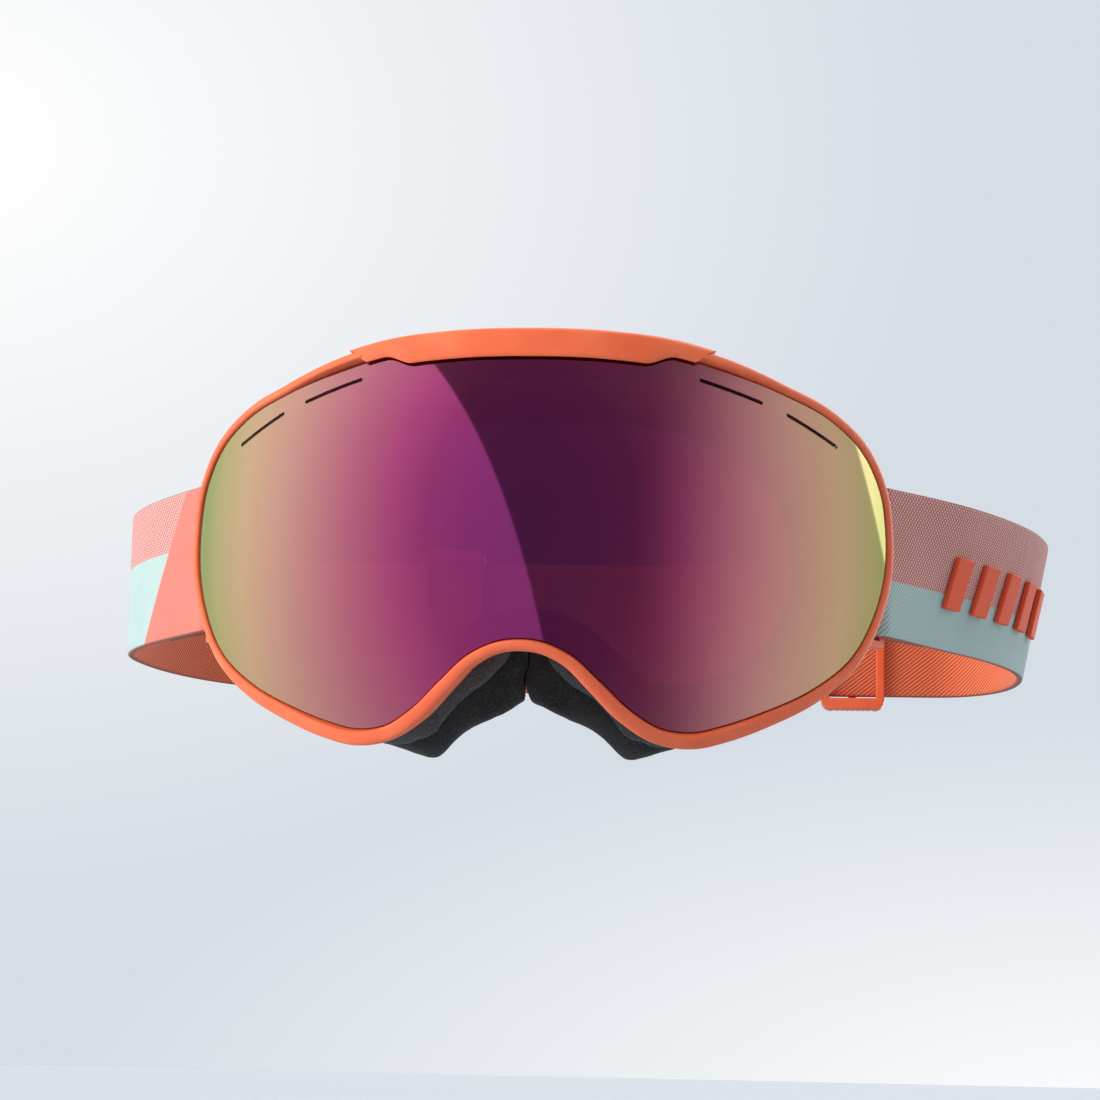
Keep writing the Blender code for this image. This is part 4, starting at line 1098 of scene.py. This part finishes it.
elastic = webbing()
SLIDER_X = {"left": -42 * MM, "right": 82 * MM}
bands = {
    "left": Band(-1, 33.6 * MM, 78 * MM, 84 * MM, 0, 0.0),
    "right": Band(1, 43.3 * MM, 113.8 * MM, 106 * MM, 1, math.radians(11)),
}
at_bar = BRACKET_STANDOFF + BRACKET_REACH - RIM_WIDTH - 2 * GAP
for name, band in bands.items():
    other = -SLIDER_X["right"] if name == "left" else SLIDER_X["left"]
    end_x = other + SLIDER_LENGTH / 2 + GAP
    ends = {
        "side": band.at_y(SIDE_DEPTH + SIDE_END),
        "tail": band.at_x(end_x + TAIL_LENGTH),
        "end": band.at_x(end_x),
    }
    mint_line = 4.0 * MM if name == "left" else -4.8 * MM
    salmon_line = (-1.0, 0.0)
    if name == "left":
        low = band.at_y(90 * MM)
        salmon_line = (low, band.at_y(67 * MM) - low)
    middle = STRAP_BAR + GAP + STRAP_THICK / 2
    inner_run = np.linspace(FOLD_LENGTH, at_bar, 40)
    gap = -(STRAP_THICK + 0.1 * MM)
    back_out = gap + (-2 * middle - gap) * (
        1 - smoothstep(at_bar + 1 * MM, at_bar + 14 * MM, inner_run)
    )
    turn = np.linspace(-math.pi / 2, -3 * math.pi / 2, 24)[1:-1]
    loop = np.stack([at_bar + middle * np.cos(turn), -middle + middle * np.sin(turn)], 1)
    outer_run = np.stack([np.linspace(at_bar, ends["side"], 200), np.zeros(200)], 1)
    path = np.vstack([np.stack([inner_run, back_out], 1), loop, outer_run])
    fold_length = FOLD_LENGTH - at_bar + 2 * MM
    front = ribbon(
        f"band_{name}_front", band, path, elastic, mint_line, salmon_line, fold_length
    )
    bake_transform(front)
    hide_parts(f"strap_{name}_front", f"strap_{name}_side")
    path = [(ends["side"], 0.0), (ends["tail"], 0.0)]
    rear = ribbon(f"band_{name}_rear", band, path, elastic, mint_line, salmon_line)
    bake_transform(rear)
    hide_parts(*(f"strap_{name}_{part}" for part in ("quarter", "corner", "run", "back")))
    path = [(ends["tail"], 0.0), (ends["end"], 0.0)]
    tail = ribbon(f"band_{name}_tail", band, path, elastic, mint_line, salmon_line)
    start, stop = (ORIGIN + band.points(np.array([ends[k]]), 0.0, 0.0)[0] for k in ("tail", "end"))
    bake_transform(tail)
    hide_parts(f"strap_{name}_tail")

# ---------------------------------------------------------------- sliders and raised bars
# Injection-moulded ladder sliders set the strap's length. On the right-hand band, five
# slanting bars of silicone rubber are moulded through the weave.

BAR_FIRST, BAR_LAST = 37.8 * MM, 97.8 * MM
BAR_SIZE, BAR_SLANT, BAR_THICK = (8.5 * MM, 14.5 * MM), 4.0 * MM, 1.6 * MM
BAR_MIDDLE = -1.5 * MM

slider_plastic = moulded_plastic(
    "gloss_coral_acetal", "#E5623C", "#DB5834", "#EC734C", 0.3, 0.5 * MM
)
for side in ("left", "right"):
    node = f"slider_{side}"
    eased(f"ladder_{side}", node, slider_plastic, node, 0.45 * MM)
rubber = moulded_plastic("coral_silicone", "#DD4F28", "#D54A25", "#E25C36", 0.68, 0.4 * MM)
band = bands["right"]
first, last = (band.at_y(SIDE_DEPTH + v) for v in (BAR_FIRST, BAR_LAST))
base = STRAP_THICK / 2 + GAP / 3
for k, start in enumerate(np.linspace(first, last, 5)):
    lines = []
    for out, share in ((base, -0.5), (base + BAR_THICK, -0.5), (base + BAR_THICK, 0.5), (base, 0.5)):
        along = start + np.linspace(-0.5, 0.5, 9) * BAR_SIZE[0] + BAR_SLANT * share
        lines.append(band.points(along, out, BAR_MIDDLE + BAR_SIZE[1] * share))
    bar = swept(f"rubber_bar_{k + 1}", lines, rubber, "raised_rubber", False)
    settled(
        bar, ("BEVEL",),
        bevel={"width": 0.45 * MM, "segments": 3, "limit_method": "ANGLE", "angle_limit": 0.7},
    )
    crisp(bar)
    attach(bar, "strap_sides")
    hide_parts(f"raised_bar_{k + 1}")

# ---------------------------------------------------------------- stage, light and camera
# A floor of pale paper well below the goggles, in a white light tent: a large bright panel
# on the wearer's right, and a dimmer room on the other side.

CAMERA_PLACE = np.array([85.786, -813.772, -126.783]) * MM
CAMERA_TURN, CAMERA_RISE, CAMERA_ROLL = math.radians(5.5), math.radians(8.5), math.radians(1.2)
CAMERA_LENS = 108.56
FLOOR_HALF, FLOOR_HEIGHT = 25.0, -0.36  # so wide that its end is lost in the backdrop

look = np.array(
    [
        -math.sin(CAMERA_TURN) * math.cos(CAMERA_RISE),
        math.cos(CAMERA_TURN) * math.cos(CAMERA_RISE),
        math.sin(CAMERA_RISE),
    ]
)
level = np.array([math.cos(CAMERA_TURN), math.sin(CAMERA_TURN), 0.0])
above = np.cross(level, look)
right = level * math.cos(CAMERA_ROLL) + above * math.sin(CAMERA_ROLL)
up = -level * math.sin(CAMERA_ROLL) + above * math.cos(CAMERA_ROLL)
camera_data = bpy.data.cameras.new("camera")
camera_data.sensor_width = 36
camera_data.lens = CAMERA_LENS
camera = bpy.data.objects.new("camera", camera_data)
bpy.context.scene.collection.objects.link(camera)
pose = np.eye(4)
pose[:3, 0], pose[:3, 1], pose[:3, 2], pose[:3, 3] = right, up, -look, CAMERA_PLACE + ORIGIN
camera.matrix_world = pose.T.tolist()
bpy.context.scene.camera = camera
bpy.context.scene.view_settings.view_transform = "Standard"

floor_mesh = bpy.data.meshes.new("floor")
floor_corners = [
    (x * FLOOR_HALF, y * FLOOR_HALF, FLOOR_HEIGHT) for x, y in ((-1, -1), (1, -1), (1, 1), (-1, 1))
]
floor_mesh.from_pydata(floor_corners, [], [(0, 1, 2, 3)])
floor = bpy.data.objects.new("floor", floor_mesh)
bpy.context.scene.collection.objects.link(floor)
paper, tree = new_material("pale_paper")
shade = add(tree, "BsdfPrincipled", {"Base Color": colour("#B9C0C8"), "Roughness": 0.9})
show(tree, shade.outputs[0])
floor_mesh.materials.append(paper)
floor.visible_glossy = False
floor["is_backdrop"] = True


def toward(turn, height):
    """The direction so many degrees to the +X side of straight ahead, and so many up."""
    a, b = math.radians(turn), math.radians(height)
    return np.array([math.sin(a) * math.cos(b), -math.cos(a) * math.cos(b), math.sin(b)])


world = bpy.data.worlds.new("tent")
bpy.context.scene.world = world
world.use_nodes = True
tree = world.node_tree
tree.nodes.clear()
way = add(tree, "TexCoord").outputs["Generated"]
# The edge of the white panel, and a narrow window at the other side, each a plane that cuts
# the sphere of directions: its unit vector, and how far along it the cut lies
cuts = []
for plane, cut in (
    ((-0.8880, -0.3301, -0.3201), 0.3888),
    ((0.4115, 0.6737, 0.6139), 0.7080),
):
    facing = add(tree, "VectorMath", {0: way, 1: plane}, operation="DOT_PRODUCT")
    inside = add(
        tree,
        "MapRange",
        {0: facing.outputs["Value"], 1: cut - 0.003, 2: cut + 0.003},
        interpolation_type="SMOOTHSTEP",
    )
    cuts.append(inside.outputs[0])
axis = add(tree, "SeparateXYZ", {0: way})
panel_light = add(tree, "MapRange", {0: axis.outputs[2], 1: -1.0, 2: 1.0, 3: 0.81, 4: 1.58})
room_light = add(
    tree,
    "MapRange",
    {0: axis.outputs[0], 1: 0.40, 2: 0.90, 3: 0.33, 4: 0.92},
    interpolation_type="SMOOTHSTEP",
)
lit = add(tree, "Mix", {0: cuts[0], 2: room_light.outputs[0], 3: panel_light.outputs[0]})
lit = add(tree, "Mix", {0: cuts[1], 2: lit.outputs[0], 3: 2.6})
# Matt surfaces get less of the tent than the mirror shows, as the lamps below light them
path = add(tree, "LightPath")
soft = add(tree, "Math", {0: lit.outputs[0], 1: 0.62}, operation="MULTIPLY")
level_light = add(
    tree, "Mix", {0: path.outputs["Is Glossy Ray"], 2: soft.outputs[0], 3: lit.outputs[0]}
)
# What the eye sees of the tent through the lens is dim, as a face behind it would be
dim = add(tree, "Mix", {0: path.outputs["Is Camera Ray"], 2: level_light.outputs[0], 3: 0.05})
tent = add(tree, "Background", {"Color": (1, 1, 1, 1), "Strength": dim.outputs[0]})
# The backdrop is a pale grey-blue wall with two soft pools of light
sight = [
    add(tree, "VectorMath", {0: way, 1: side.tolist()}, operation="DOT_PRODUCT").outputs["Value"]
    for side in (right, up)
]
sight = add(tree, "CombineXYZ", {0: sight[0], 1: sight[1]}).outputs[0]
pools = []
for centre, reach in (((-0.181, 0.121), (0.302, 0.226)), ((0.181, -0.181), (0.332, 0.136))):
    spot = add(
        tree,
        "Mapping",
        {
            "Vector": sight,
            "Location": (-centre[0] / reach[0], -centre[1] / reach[1], 0),
            "Scale": (1 / reach[0], 1 / reach[1], 1),
        },
    )
    far = add(tree, "VectorMath", {0: spot.outputs[0]}, operation="LENGTH")
    pools.append(
        add(tree, "MapRange", {0: far.outputs["Value"], 1: 1.0, 2: 0.05, 3: 0.0, 4: 1.0})
    )
glow = add(tree, "Math", {0: pools[0].outputs[0], 1: pools[1].outputs[0]}, operation="MAXIMUM")
wall = add(
    tree,
    "ValToRGB",
    {0: glow.outputs[0]},
    stops=((0.0, "#D6DDE5"), (1.0, "#FFFFFF")),
)
backdrop = add(tree, "Background", {"Color": wall.outputs[0], "Strength": 1.0})
behind = add(tree, "Math", {0: path.outputs["Transparent Depth"], 1: 0.5}, operation="LESS_THAN")
seen = add(
    tree, "Math", {0: path.outputs["Is Camera Ray"], 1: behind.outputs[0]}, operation="MULTIPLY"
)
both = add(tree, "MixShader", {0: seen.outputs[0], 1: tent.outputs[0], 2: backdrop.outputs[0]})
add(tree, "OutputWorld", {"Surface": both.outputs[0]})


def soft_light(name, turn, height, spread, power, tone):
    """A far lamp as wide as a big soft box, that shines from the given direction."""
    data = bpy.data.lights.new(name, "SUN")
    data.angle, data.energy, data.color = math.radians(spread), power, tone
    light = bpy.data.objects.new(name, data)
    bpy.context.scene.collection.objects.link(light)
    way = toward(turn, height)
    light.location = (way * 1.5).tolist()
    light.rotation_euler = Vector((-way).tolist()).to_track_quat("-Z", "Z").to_euler()
    light.visible_glossy = False


soft_light("key", -68, 14, 42, 4.3, (1.0, 0.97, 0.95))
soft_light("top", -20, 65, 45, 0.8, (1.0, 1.0, 1.0))

low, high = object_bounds()
